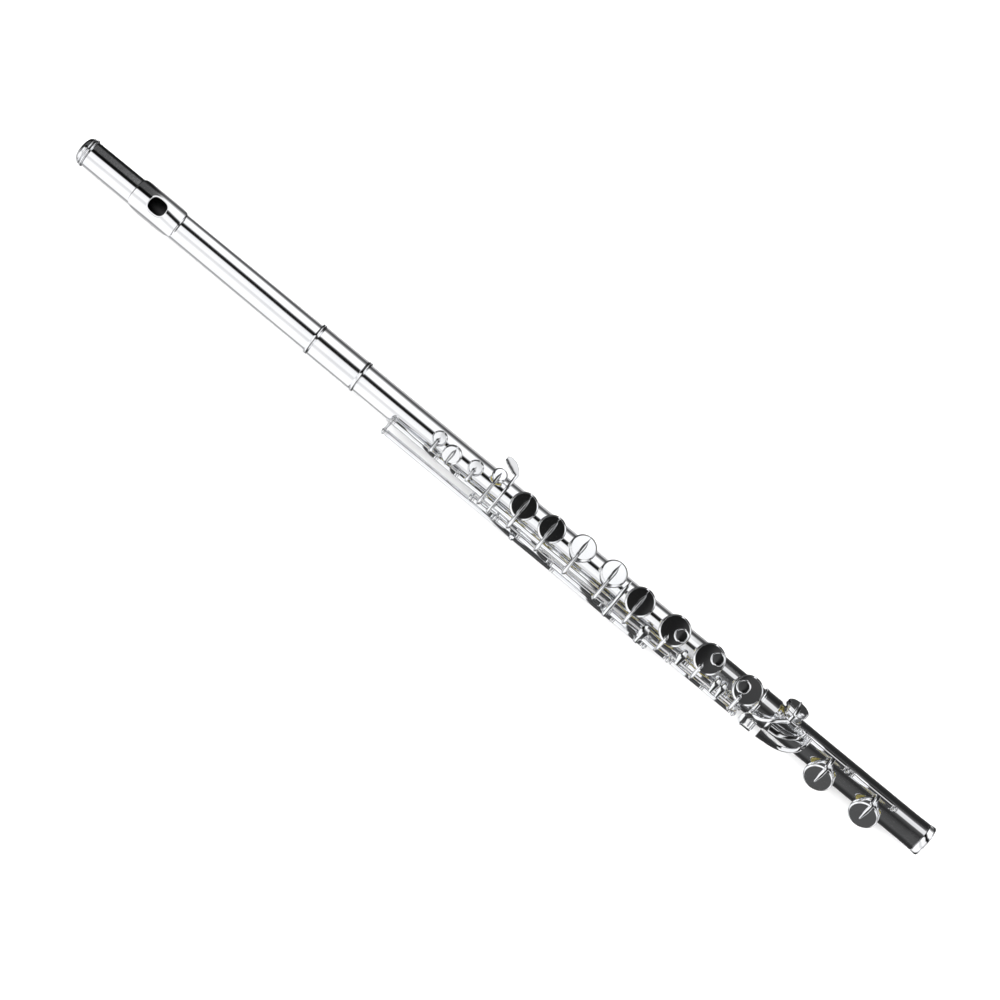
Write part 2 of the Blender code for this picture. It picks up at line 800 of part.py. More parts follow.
def lip_plate():
    """A curved plate: high over the blow hole, close to the tube at its sides."""
    columns, rows = 12, 10
    bm = bmesh.new()
    grids = []
    for drop in (0, LIP_PLATE):
        grid = []
        for i in range(columns + 1):
            u = math.sin(math.pi / 2 * (2 * i / columns - 1)) * 0.985
            reach = LIP_HALF_ANGLE * (1 - abs(u) ** LIP_ROUND) ** (1 / LIP_ROUND)
            line = []
            for j in range(rows + 1):
                angle = reach * (2 * j / rows - 1)
                crown = math.cos(min(abs(angle) * 1.05, math.pi / 2)) ** 2
                height = LIP_EDGE + (LIP_TOP - LIP_EDGE) * crown * (1 - 0.25 * u * u) - drop
                x = EMBOUCHURE_X + u * LIP_HALF_LENGTH
                line.append(bm.verts.new((x, height * math.sin(angle), height * math.cos(angle))))
            grid.append(line)
        grids.append(grid)
    for grid in grids:
        for one, two in zip(grid, grid[1:]):
            for j in range(rows):
                bm.faces.new((one[j], one[j + 1], two[j + 1], two[j]))
    top, under = grids
    edges = [(g[0], g[-1]) for g in (top, under)]
    for k in range(2):
        for j in range(rows):
            bm.faces.new((edges[0][k][j], edges[0][k][j + 1], edges[1][k][j + 1], edges[1][k][j]))
    for one, two, three, four in zip(top, top[1:], under, under[1:]):
        bm.faces.new((one[0], two[0], four[0], three[0]))
        bm.faces.new((one[-1], two[-1], four[-1], three[-1]))
    half_length, half_width = EMBOUCHURE
    gap = RISER_WALL + CLEARANCE
    return cut(mesh_of(bm), [oval_rod(half_length + gap, half_width + gap, 4.0, 16.0)])


def crown():
    """The cap that closes the head joint and holds the cork's screw."""
    thread = 2.0
    profile = [
        (5.2, 0),
        (5.2, thread),
        (12.0, thread),
        (12.0, CROWN_END_BORE - CLEARANCE),
        (CROWN_LENGTH, CROWN_END_BORE - CLEARANCE),
        (CROWN_LENGTH, 9.5),
        (5.6, 9.9),
        (4.0, 9.4),
        (3.2, 8.6),
        (1.6, 7.6),
        (0.5, 5.0),
        (0.0, 0),
    ]
    return turned(profile, TUBE_SIDES)


def barrel():
    """The body's sleeve for the head joint, with a ring at each end."""
    outer, ring, bore = 10.35, 10.85, TUBE + CLEARANCE
    profile = [
        (BARREL_START, bore),
        (BARREL_START, ring),
        (BARREL_START + 2.4, ring),
        (BARREL_START + 2.7, outer),
        (BARREL_END - 2.7, outer),
        (BARREL_END - 2.4, ring),
        (BARREL_END, ring),
        (BARREL_END, bore),
    ]
    return turned(profile, TUBE_SIDES)


STOPPER_START, STOPPER_END = 24.0, 41.0
SCREW = 1.6


def stopper_screw():
    """The cork's threaded spindle, with the reflecting plate at its inner end."""
    plate = CROWN_END_BORE - CLEARANCE
    profile = [
        (7.6, 0),
        (7.6, SCREW),
        (STOPPER_END + CLEARANCE, SCREW),
        (STOPPER_END + CLEARANCE, plate),
        (STOPPER_END + 1.6, plate),
        (STOPPER_END + 1.6, 0),
    ]
    return turned(profile, SMALL_CUP_SIDES)


# ---------------------------------------------------------------- posts

POST_HALF = 1.3  # half a post head's length along x
RIB = (TUBE + CLEARANCE, 10.7)  # inner and outer radius of a rib
POST_FOOT = 10.35


def post(x, axis, angle, radius=2.5, bore=ROD + CLEARANCE):
    """A post on a rib, as its shapes and its hole: a stem up to a round head on the axis."""
    base = (x, POST_FOOT * math.sin(angle), POST_FOOT * math.cos(angle))
    stem = strip([base, (x, *axis)], [1.9, 1.7], 1.8)
    steps = 5
    profile = [(-POST_HALF, 0)]
    for i in range(1, steps):
        turn = math.pi * i / steps
        profile.append((-POST_HALF * math.cos(turn), radius * math.sin(turn) ** 0.6))
    profile.append((POST_HALF, 0))
    head = turned(profile, SLEEVE_SIDES)
    head.transform(Matrix.Translation((x, *axis)))
    hole = tube_shape(x - 4, x + 4, 0, bore, SLEEVE_SIDES, axis)
    return [stem, head], hole


def rib(name, plates, posts, pivot):
    """A rib along the tube with its posts soldered on."""
    pieces, holes = list(plates), []
    for shapes, hole in posts:
        pieces += shapes
        holes.append(hole)
    add(name, cut(fused(pieces), [joined(holes)]), SILVER, pivot)


def ribs(flute, foot):
    side = math.radians(-84)
    main = arc_plate(250.5, 530.4, *RIB, math.radians(-94), math.radians(-74), 3)
    trill_posts = (253.5, 518.6)
    inner, outer = RIB
    feet = [
        arc_plate(x - 1.5, x + 1.5, inner + 0.06, outer - 0.08, math.radians(-78), math.radians(-47), 4)
        for x in trill_posts
    ]
    high = math.radians(-52)
    posts = [post(x, LOWER, side) for x in (253.5, 460.3)]
    posts += [post(x, MAIN, side) for x in (320.5, 340.0, 427.2, 476.5, 528.0)]
    posts += [post(x, TRILL, high, 2.1, TRILL_CORE + CLEARANCE) for x in trill_posts]
    rib("main_rib", [main, *feet], posts, flute)

    thumb = arc_plate(327.0, 375.6, *RIB, math.radians(-141), math.radians(-127), 2)
    under = math.radians(-136)
    rib("thumb_rib", [thumb], [post(x, THUMB, under, 2.2) for x in (329.2, 373.8)], flute)

    top = arc_plate(550.8, 643.0, *RIB, math.radians(4), math.radians(16), 2)
    angle = math.radians(10)
    rib("foot_rib", [top], [post(x, FOOT, angle, 2.0) for x in (551.5, 565.2, 604.8, 641.2)], foot)


def rods(flute, foot):
    spans = (
        ("main_rod_upper", 319.6, 427.0, MAIN, flute),
        ("main_rod_lower", 427.4, 529.0, MAIN, flute),
        ("thumb_rod", 328.2, 374.8, THUMB, flute),
        ("e_flat_rod", 550.6, 565.0, FOOT, foot),
    )
    for name, start, end, axis, pivot in spans:
        add(name, tube_shape(start, end, 0, ROD, SLEEVE_SIDES, axis), STEEL, pivot)


# ---------------------------------------------------------------- flute

FLUTE_Y = 0.1367  # centres the outline across
FLUTE_Z = 18.5167  # the axis's height when the lowest key is at z = 0


def main():
    for thing in list(bpy.data.objects):
        bpy.data.objects.remove(thing)
    flute = empty("flute", (-LENGTH / 2, FLUTE_Y, FLUTE_Z))
    tube = empty("tube_axis", (0, 0, 0), flute)

    add("head_tube", head_tube(), SILVER, tube)
    add("lip_plate", lip_plate(), SILVER, tube)
    add("embouchure_riser", riser(), SILVER, tube)
    add("crown", crown(), SILVER, tube)
    cork = tube_shape(STOPPER_START, STOPPER_END, SCREW + CLEARANCE, CROWN_END_BORE - CLEARANCE, 24)
    add("stopper_cork", cork, CORK, tube)
    add("stopper_screw", stopper_screw(), STEEL, tube)
    nut = tube_shape(STOPPER_START - 1.7, STOPPER_START - CLEARANCE, SCREW + CLEARANCE, 7.0, 16)
    add("stopper_nut", nut, STEEL, tube)
    add("barrel", barrel(), SILVER, tube)
    add("body_tube", body_tube(), SILVER, tube)
    add("foot_tube", foot_tube(), SILVER, tube)
    ribs(tube, tube)
    rods(tube, tube)
    trill_keys(flute)
    c_key(flute)
    main_row(flute)
    lower_keys(flute)
    thumb_keys(flute)
    foot_keys(flute)
    add("e_flat_roller", roller(flute), SILVER, tube)


main()
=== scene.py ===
"""Concert flute: fine surfaces, metals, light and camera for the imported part.

Shapes are worked out in millimetres in the flute's own frame: x runs from the crown's tip to the
foot's end, the tube's axis is y = z = 0, the keys are on +z and the rods on -y. Keys are shaped
closed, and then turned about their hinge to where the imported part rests. Places along the tube,
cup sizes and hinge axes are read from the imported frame.
"""

import json
import math

import bmesh
import bpy
from mathutils import Matrix, Vector

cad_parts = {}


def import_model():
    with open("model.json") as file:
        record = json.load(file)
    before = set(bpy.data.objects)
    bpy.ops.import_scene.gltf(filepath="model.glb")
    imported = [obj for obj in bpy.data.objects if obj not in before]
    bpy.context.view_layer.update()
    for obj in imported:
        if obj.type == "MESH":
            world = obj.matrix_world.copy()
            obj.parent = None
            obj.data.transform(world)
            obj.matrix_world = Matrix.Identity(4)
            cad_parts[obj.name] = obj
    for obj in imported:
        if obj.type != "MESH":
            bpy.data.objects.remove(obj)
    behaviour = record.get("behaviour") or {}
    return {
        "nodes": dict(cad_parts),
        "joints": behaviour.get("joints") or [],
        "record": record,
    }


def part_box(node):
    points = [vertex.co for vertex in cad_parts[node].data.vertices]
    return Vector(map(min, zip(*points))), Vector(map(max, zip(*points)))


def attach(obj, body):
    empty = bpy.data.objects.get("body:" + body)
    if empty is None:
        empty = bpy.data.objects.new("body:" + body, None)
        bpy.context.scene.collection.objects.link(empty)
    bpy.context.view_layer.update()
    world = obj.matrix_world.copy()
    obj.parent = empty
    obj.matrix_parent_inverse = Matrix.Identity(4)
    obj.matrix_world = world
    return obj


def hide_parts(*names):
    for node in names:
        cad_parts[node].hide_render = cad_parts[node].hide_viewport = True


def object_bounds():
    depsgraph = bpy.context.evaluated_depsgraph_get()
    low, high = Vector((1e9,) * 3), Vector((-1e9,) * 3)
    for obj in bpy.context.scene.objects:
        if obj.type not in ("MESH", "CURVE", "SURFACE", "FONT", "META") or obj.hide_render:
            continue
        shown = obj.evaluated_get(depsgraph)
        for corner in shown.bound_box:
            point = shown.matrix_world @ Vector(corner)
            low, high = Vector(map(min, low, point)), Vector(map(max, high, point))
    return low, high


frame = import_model()
cad_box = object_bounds()

MM = 0.001
SCENE = bpy.context.scene

# The tube's axis and the crown's tip place the flute's own frame in the row's frame.
TUBE_LOW, TUBE_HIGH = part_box("head_tube")
ORIGIN = Vector(
    (cad_box[0].x, (TUBE_LOW.y + TUBE_HIGH.y) / 2, (TUBE_LOW.z + TUBE_HIGH.z) / 2)
)
TO_ROW = Matrix.Translation(ORIGIN) @ Matrix.Scale(MM, 4)
TO_FLUTE = TO_ROW.inverted()

JOINTS = {joint["child"]: joint for joint in frame["joints"]}
BODY_OF = {
    node: body
    for body, nodes in frame["record"]["behaviour"]["bodies"].items()
    for node in nodes
}
SLOT_OF = {entry["node"]: entry["material_slot"] for entry in frame["record"]["subparts"]}

# Heights over the tube's axis, with every key closed
SEAT = 12.0
SEAT_LIP = 1.3
WIDEST_SEAT = 7.6
CHIMNEY_WALL = 0.7
RIM = 12.6
CUP_SIDE = 14.9
CUP_TOP = 16.0
CUP_WALL = 0.5
PAD_BACK = 14.5
PAD_IN = 0.45
TRIM = 0.14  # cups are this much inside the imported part's, so that the box stays the same
BUTTON = 4.5
SLEEVE = 2.05
SLEEVE_BORE = 1.25
ROD = 0.9
ARM_PLATE = 1.5
TOUCH_PLATE = 1.4

# Rest turn of each key about its hinge, in degrees
OPEN_KEYS = ("c_key", "a_sharp_key", "a_key", "g_key", "f_sharp_key", "f_key", "e_key", "d_key")
REST_TURN = {name: 8.0 for name in OPEN_KEYS}
REST_TURN.update(
    thumb_b_key=-8.0, thumb_b_flat_lever=-8.0, low_c_sharp_key=-10.0, low_c_key=-10.0
)

CLOSED_LEAN = math.radians(-7.5)  # the small closed cups' tops lean towards the rods
FINE = 96  # facets round the tubes
CUP_FACETS = 72
ROD_FACETS = 28


# ---------------------------------------------------------------- places from the frame


def box_of(node):
    """A node's box in millimetres in the flute's frame."""
    low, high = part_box(node)
    return TO_FLUTE @ low, TO_FLUTE @ high


def hinge_axis(body):
    """(y, z) of a body's hinge line."""
    place = TO_FLUTE @ Vector(JOINTS[body]["pos_m"])
    return place.y, place.z


def rest_turn(body):
    """The matrix that turns a closed key about its hinge to where it rests."""
    axis = Matrix.Translation((0, *hinge_axis(body)))
    turn = Matrix.Rotation(math.radians(REST_TURN.get(body, 0.0)), 4, "X")
    return axis @ turn @ axis.inverted()


def cup_place(pad):
    """(x, angle, radius) of the cup over a pad, closed. The pad's node is read back to its seat."""
    body = BODY_OF[pad]
    turn = rest_turn(body).inverted()
    corners = [turn @ (TO_FLUTE @ v.co) for v in frame["nodes"][pad].data.vertices]
    low = Vector([min(c[k] for c in corners) for k in range(3)])
    high = Vector([max(c[k] for c in corners) for k in range(3)])
    centre = (low + high) / 2
    radius = (high.x - low.x) / 2
    return centre.x, math.atan2(centre.y, centre.z), radius + CUP_WALL + PAD_IN - TRIM


# ---------------------------------------------------------------- meshes


def mesh_of(bm):
    """The bmesh as a mesh with its normals outward."""
    bmesh.ops.recalc_face_normals(bm, faces=bm.faces)
    mesh = bpy.data.meshes.new("shape")
    bm.to_mesh(mesh)
    bm.free()
    return mesh


def turned(profile, sides):
    """Turn (x, radius) points about the x axis. Points at radius 0 close the ends; without them the
    profile is a loop, and the solid is a ring."""
    bm = bmesh.new()
    rings = []
    for x, radius in profile:
        if radius == 0:
            rings.append([bm.verts.new((x, 0, 0))])
            continue
        step = math.tau / sides
        rings.append(
            [
                bm.verts.new((x, radius * math.sin(i * step), radius * math.cos(i * step)))
                for i in range(sides)
            ]
        )
    solid = profile[0][1] == 0
    for first, second in zip(rings, rings[1:] + ([] if solid else rings[:1])):
        for i in range(sides):
            loop = [
                first[i % len(first)],
                first[(i + 1) % len(first)],
                second[(i + 1) % len(second)],
                second[i % len(second)],
            ]
            corners = list(dict.fromkeys(loop))
            if len(corners) > 2:
                bm.faces.new(corners)
    return mesh_of(bm)


def moved(mesh, matrix):
    """The mesh after the matrix."""
    mesh.transform(matrix)
    return mesh


def rounded_end(x, radius, round_by, outward):
    """Profile points of a rounded edge at a rod's end; outward is +1 at the high end."""
    points = []
    for i in range(4):
        angle = math.radians(90 * i / 3)
        points.append(
            (
                x - outward * round_by * (1 - math.sin(angle)),
                radius - round_by * (1 - math.cos(angle)),
            )
        )
    return points


def rod(start, end, radius, axis=(0, 0), bore=0.0, edge=0.25, sides=ROD_FACETS):
    """A rod or a tube along x with softened edges."""
    profile = sorted(rounded_end(start, radius, edge, -1), key=lambda point: point[1])
    profile += sorted(rounded_end(end, radius, edge, 1), key=lambda point: -point[1])
    if bore:
        profile += [(end - edge, bore), (start + edge, bore)]
    else:
        profile = [(start, 0)] + profile + [(end, 0)]
    return moved(turned(profile, sides), Matrix.Translation((0, *axis)))


def spline(points, steps):
    """Catmull-Rom points through the points."""
    route = [Vector(p) for p in points]
    if len(route) == 2:
        return route
    made = []
    for i in range(len(route) - 1):
        before = route[i - 1] if i else route[0] * 2 - route[1]
        a, b = route[i], route[i + 1]
        after = route[i + 2] if i + 2 < len(route) else b * 2 - a
        for k in range(steps):
            t = k / steps
            made.append(
                0.5
                * (
                    2 * a
                    + (b - before) * t
                    + (2 * before - 5 * a + 4 * b - after) * t**2
                    + (3 * a - before - 3 * b + after) * t**3
                )
            )
    made.append(route[-1])
    return made


def plate_section(half, thick):
    """Rounded rectangle, as (across, up)."""
    bevel = min(half, thick / 2) * 0.55
    corners = ((1, -1), (1, 1), (-1, 1), (-1, -1))
    points = []
    for across, up in corners:
        start = {(1, -1): -90, (1, 1): 0, (-1, 1): 90, (-1, -1): 180}[(across, up)]
        for k in range(4):
            angle = math.radians(start + 30 * k)
            points.append(
                (
                    across * (half - bevel) + bevel * math.cos(angle),
                    up * (thick / 2 - bevel) + bevel * math.sin(angle),
                )
            )
    return points


def ridge_section(half, thick):
    """The gabled section of a pointed arm: flat below, two slopes up to a soft ridge."""
    low, high = -thick / 2, thick / 2
    return [
        (-half, low), (half, low), (half, low + 0.25 * thick),
        (half * 0.86, low + 0.42 * thick), (half * 0.5, low + 0.68 * thick),
        (half * 0.12, high - 0.06), (0, high), (-half * 0.12, high - 0.06),
        (-half * 0.5, low + 0.68 * thick), (-half * 0.86, low + 0.42 * thick),
        (-half, low + 0.25 * thick),
    ]


def swept(points, widths, thickness, across=(1, 0, 0), section=plate_section, steps=6):
    """A bar of the section through the points. Its width lies along the vector across."""
    route = spline(points, steps)
    count = len(points) - 1
    per = (len(route) - 1) / count
    bm = bmesh.new()
    sections = []
    for i, point in enumerate(route):
        ahead = (route[min(i + 1, len(route) - 1)] - route[max(i - 1, 0)]).normalized()
        side = Vector(across)
        side = (side - ahead * side.dot(ahead)).normalized()
        up = side.cross(ahead)
        place = i / per
        k = min(int(place), count - 1)
        share = place - k
        share = share * share * (3 - 2 * share)
        half = (widths[k] * (1 - share) + widths[k + 1] * share) / 2
        sections.append(
            [bm.verts.new(point + side * a + up * b) for a, b in section(half, thickness)]
        )
    size = len(sections[0])
    for first, second in zip(sections, sections[1:]):
        for i in range(size):
            j = (i + 1) % size
            bm.faces.new((first[i], first[j], second[j], second[i]))
    bm.faces.new(sections[0])
    bm.faces.new(sections[-1])
    return mesh_of(bm)


def joined(pieces):
    """Several shapes as one mesh."""
    bm = bmesh.new()
    for piece in pieces:
        bm.from_mesh(piece)
    mesh = bpy.data.meshes.new("shape")
    bm.to_mesh(mesh)
    bm.free()
    return mesh


def cut(base, tool):
    """The base mesh without the tool."""
    pair = [bpy.data.objects.new("operand", mesh) for mesh in (base, tool)]
    for operand in pair:
        SCENE.collection.objects.link(operand)
    modifier = pair[0].modifiers.new("Boolean", "BOOLEAN")
    modifier.operation = "DIFFERENCE"
    modifier.solver = "EXACT"
    modifier.object = pair[1]
    depsgraph = bpy.context.evaluated_depsgraph_get()
    result = bpy.data.meshes.new_from_object(pair[0].evaluated_get(depsgraph))
    for operand in pair:
        bpy.data.objects.remove(operand)
    return result


# ---------------------------------------------------------------- finishes


def nodes_of(name):
    """A new material, its node tree and its shader."""
    made = bpy.data.materials.new(name)
    made.use_nodes = True
    return made, made.node_tree, made.node_tree.nodes["Principled BSDF"]


def noise(tree, scale, detail=3.0):
    """A noise texture in object coordinates."""
    place = tree.nodes.new("ShaderNodeTexCoord")
    texture = tree.nodes.new("ShaderNodeTexNoise")
    texture.inputs["Scale"].default_value = scale
    texture.inputs["Detail"].default_value = detail
    tree.links.new(place.outputs["Object"], texture.inputs["Vector"])
    return texture


def ranged(tree, value, source, target, interpolation="LINEAR"):
    """The value mapped from the source range to the target range, and held at its ends."""
    node = tree.nodes.new("ShaderNodeMapRange")
    node.interpolation_type = interpolation
    names = ("From Min", "From Max", "To Min", "To Max")
    for socket, number in zip(names, source + target):
        node.inputs[socket].default_value = number
    tree.links.new(value, node.inputs["Value"])
    return node.outputs["Result"]


def two_colours(tree, source, first, second):
    """A colour between the two, by the source."""
    ramp = tree.nodes.new("ShaderNodeValToRGB")
    ramp.color_ramp.elements[0].position = 0.35
    ramp.color_ramp.elements[0].color = (*first, 1)
    ramp.color_ramp.elements[1].position = 0.65
    ramp.color_ramp.elements[1].color = (*second, 1)
    tree.links.new(source, ramp.inputs["Fac"])
    return ramp.outputs["Color"]


def bumped(tree, shader, source, strength, distance):
    """Gives the shader a bump from the source."""
    bump = tree.nodes.new("ShaderNodeBump")
    bump.inputs["Strength"].default_value = strength
    bump.inputs["Distance"].default_value = distance
    tree.links.new(source, bump.inputs["Height"])
    tree.links.new(bump.outputs["Normal"], shader.inputs["Normal"])


def metal(name, light, dark, roughness, wave):
    """Polished or brushed metal: a faint tone, handling marks in its gloss and a hand-buffed wave."""
    made, tree, shader = nodes_of(name)
    shader.inputs["Metallic"].default_value = 1.0
    tone = noise(tree, 60.0)
    tree.links.new(two_colours(tree, tone.outputs["Fac"], dark, light), shader.inputs["Base Color"])
    marks = noise(tree, 900.0, 6.0)
    tree.links.new(ranged(tree, marks.outputs["Fac"], (0.0, 1.0), roughness), shader.inputs["Roughness"])
    buffing = noise(tree, 140.0, 2.0)
    bumped(tree, shader, buffing.outputs["Fac"], wave, 0.0002)
    return made


def felt_skin():
    """Yellow fish skin over felt: fine wrinkles and uneven colour."""
    made, tree, shader = nodes_of("pad_skin")
    tone = noise(tree, 700.0, 4.0)
    colour = two_colours(tree, tone.outputs["Fac"], (0.62, 0.50, 0.10), (0.86, 0.76, 0.30))
    tree.links.new(colour, shader.inputs["Base Color"])
    tree.links.new(ranged(tree, tone.outputs["Fac"], (0.0, 1.0), (0.45, 0.7)), shader.inputs["Roughness"])
    wrinkles = noise(tree, 1600.0, 5.0)
    bumped(tree, shader, wrinkles.outputs["Fac"], 0.5, 0.0002)
    return made


def cork():
    """Cork: pale and dark grains with pits."""
    made, tree, shader = nodes_of("cork")
    grain = noise(tree, 900.0, 5.0)
    colour = two_colours(tree, grain.outputs["Fac"], (0.22, 0.12, 0.05), (0.55, 0.37, 0.20))
    tree.links.new(colour, shader.inputs["Base Color"])
    tree.links.new(ranged(tree, grain.outputs["Fac"], (0.0, 1.0), (0.7, 0.95)), shader.inputs["Roughness"])
    bumped(tree, shader, grain.outputs["Fac"], 0.6, 0.0003)
    return made


FINISHES = {
    "silver": metal("silver", (0.95, 0.955, 0.965), (0.91, 0.92, 0.935), (0.035, 0.075), 0.02),
    "steel": metal("steel", (0.70, 0.71, 0.73), (0.60, 0.61, 0.63), (0.16, 0.26), 0.06),
    "pad_skin": felt_skin(),
    "cork": cork(),
}
# painted shade: a dark silver that stands for the shade inside the bores and the blow hole
INSIDE_SHADE_SILVER = metal("painted_shade_silver", (0.20, 0.20, 0.205), (0.13, 0.13, 0.135), (0.4, 0.55), 0.1)


def paint_shade_inside(mesh):
    """Gives the faces that look towards the tube's axis, or the blow hole's middle, a dark silver: painted
    shade inside the bores and the blow hole.
    """
    middle = Vector((lip_centre()[0], 0, 10))
    mesh.materials.append(INSIDE_SHADE_SILVER)
    for face in mesh.polygons:
        across = Vector((0, face.center.y, face.center.z)).normalized()
        in_hole = (face.center - middle).length < 8 and abs(face.normal.z) < 0.3
        if face.normal.dot(across) < -0.6 or in_hole:
            face.material_index = 1


def place(node, mesh, sharp=35.0, inside=False):
    """The fine piece that stands for a CAD node: its mesh in millimetres, closed, goes to its rest."""
    body = BODY_OF[node]
    turn = rest_turn(body) if body in REST_TURN else Matrix()
    mesh.materials.clear()
    mesh.materials.append(FINISHES[SLOT_OF[node]])
    # painted shade on the faces inside the bore and the blow hole
    if inside:
        paint_shade_inside(mesh)
    mesh.transform(TO_ROW @ turn)
    mesh.shade_smooth()
    mesh.set_sharp_from_angle(angle=math.radians(sharp))
    piece = bpy.data.objects.new(f"{node}_fine", mesh)
    SCENE.collection.objects.link(piece)
    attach(piece, body)
    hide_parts(node)
    return piece


# ---------------------------------------------------------------- key work


def radial(x, angle):
    """The matrix that stands an x-turned shape on the tube, at an angle from +z towards +y."""
    out = Matrix.Rotation(-angle, 4, "X") @ Matrix.Rotation(-math.pi / 2, 4, "Y")
    return Matrix.Translation((x, 0, 0)) @ out


def over(angle, across, height):
    """(y, z) of a point at a height over the tube's axis and a distance across, for a tilted cup."""
    y = across * math.cos(angle) + height * math.sin(angle)
    z = -across * math.sin(angle) + height * math.cos(angle)
    return y, z


def across_cup(angle, radius, steps):
    """Points over a cup's top: each step is a share of the radius across and a height over it."""
    return [over(angle, share * radius, CUP_TOP + height) for share, height in steps]


def route(x, points):
    """The (y, z) points at one place along the tube."""
    return [(x, y, z) for y, z in points]


def cup(x, angle, radius, dome=0.02, lean=0.0):
    """A key cup: turned side, a bevelled rim and an almost flat top, which can lean a little."""
    profile = [
        (PAD_BACK + 0.3, 0), (PAD_BACK + 0.3, radius - CUP_WALL),
        (RIM + 0.1, radius - CUP_WALL), (RIM, radius - CUP_WALL + 0.1), (RIM, radius - 0.1),
        (RIM + 0.1, radius), (CUP_SIDE - 0.1, radius), (CUP_SIDE + 0.25, radius - 0.1),
        (CUP_SIDE + 0.55, radius - 0.35), (CUP_SIDE + 0.75, radius - 0.75),
        (CUP_TOP - 0.12 - dome, radius - 0.95), (CUP_TOP - 0.08 - dome, radius - 1.02),
        (CUP_TOP - 0.075 - dome, radius - 1.12), (CUP_TOP - 0.07 - dome * 0.9, radius - 1.6),
        (CUP_TOP - 0.06 - dome * 0.4, radius * 0.5), (CUP_TOP - 0.05, radius * 0.12),
        (CUP_TOP - 0.05, 0),
    ]
    mesh = turned(profile, CUP_FACETS)
    for vertex in mesh.vertices:
        if vertex.co.x > CUP_SIDE + 0.7:
            vertex.co.x -= math.tan(lean) * vertex.co.y + abs(math.tan(lean)) * radius * 0.75
    return moved(mesh, radial(x, angle))


def button(x, angle, across):
    """The low round finger rest on top of a cup, dished, with a raised edge."""
    profile = [
        (CUP_TOP - 0.9, 0), (CUP_TOP - 0.9, BUTTON - 0.3), (CUP_TOP + 0.9, BUTTON),
        (CUP_TOP + 1.2, BUTTON - 0.08), (CUP_TOP + 1.38, BUTTON - 0.35),
        (CUP_TOP + 1.32, BUTTON - 0.65), (CUP_TOP + 1.08, BUTTON - 0.8),
        (CUP_TOP + 1.0, BUTTON - 0.9), (CUP_TOP + 0.99, BUTTON - 1.0),
        (CUP_TOP + 0.97, BUTTON * 0.4), (CUP_TOP + 0.95, 0),
    ]
    y, z = over(angle, across, 0)
    return moved(turned(profile, CUP_FACETS), Matrix.Translation((0, y, z)) @ radial(x, angle))


def pad(x, angle, radius):
    """A pad: soft edges and a seat ring pressed into its face."""
    edge = radius - CUP_WALL - PAD_IN + TRIM / 2
    ring = min(radius - SEAT_LIP, WIDEST_SEAT) - CHIMNEY_WALL / 2
    face = SEAT + 0.3
    profile = [
        (face + 0.12, 0), (face + 0.12, ring * 0.7), (face + 0.02, ring - 0.9),
        (face + 0.14, ring - 0.3), (face + 0.14, ring + 0.3),
        (face, min(ring + 0.7, edge - 0.35)), (face + 0.1, edge - 0.15), (face + 0.35, edge),
        (PAD_BACK - 0.3, edge), (PAD_BACK, edge - 0.3), (PAD_BACK, 0),
    ]
    return moved(turned(profile, CUP_FACETS), radial(x, angle))


def pointed_arm(x, angle, radius, rise, reach=0.95):
    """The arm that climbs from the hinge tube and ends in a point, at its reach across the cup."""
    near = 0.85
    steps = ((-near, -0.1), ((reach - near) / 2, 0.3), (reach, -0.1))
    over_cup = across_cup(angle, radius, steps)
    widths = [3.2] + [2.4] * (len(rise) - 1) + [2.4, 2.8, 0.35]
    return swept(route(x, rise + over_cup), widths, ARM_PLATE, section=ridge_section)


MAIN_RISE = [(-14.9, 7.0), (-15.0, 9.8), (-12.6, 13.4)]
TRILL_RISE = [(-9.6, 9.2), (-9.2, 13.2)]


def hinge_tube(start, end, axis, bore=SLEEVE_BORE):
    """A hinge tube with a soldered collar at each end."""
    pieces = [rod(start, end, SLEEVE - 0.1, axis, bore)]
    for low in (start, end - 1.2):
        pieces.append(rod(low, low + 1.2, SLEEVE, axis, bore))
    return joined(pieces)


def key(node, parts, pads, lean=0.0):
    """A key's metal and its pads."""
    places = [cup_place(name) for name in pads]
    place(node, joined(parts + [cup(*where, lean=lean) for where in places]))
    for name, where in zip(pads, places):
        place(name, pad(*where))


def trill_touch(x, width):
    """A trill key's stem and its leaf, level with the rods."""
    stem = swept(route(x, [(-9.6, 9.2), (-9.3, 12.6)]), [2.4, 2.4], TOUCH_PLATE)
    leaf_route = route(x, [(-5.6, 12.9), (-9.0, 13.4), (-14.8, 12.4)])
    return [stem, swept(leaf_route, [width * 0.7, width, width * 0.6], TOUCH_PLATE)]


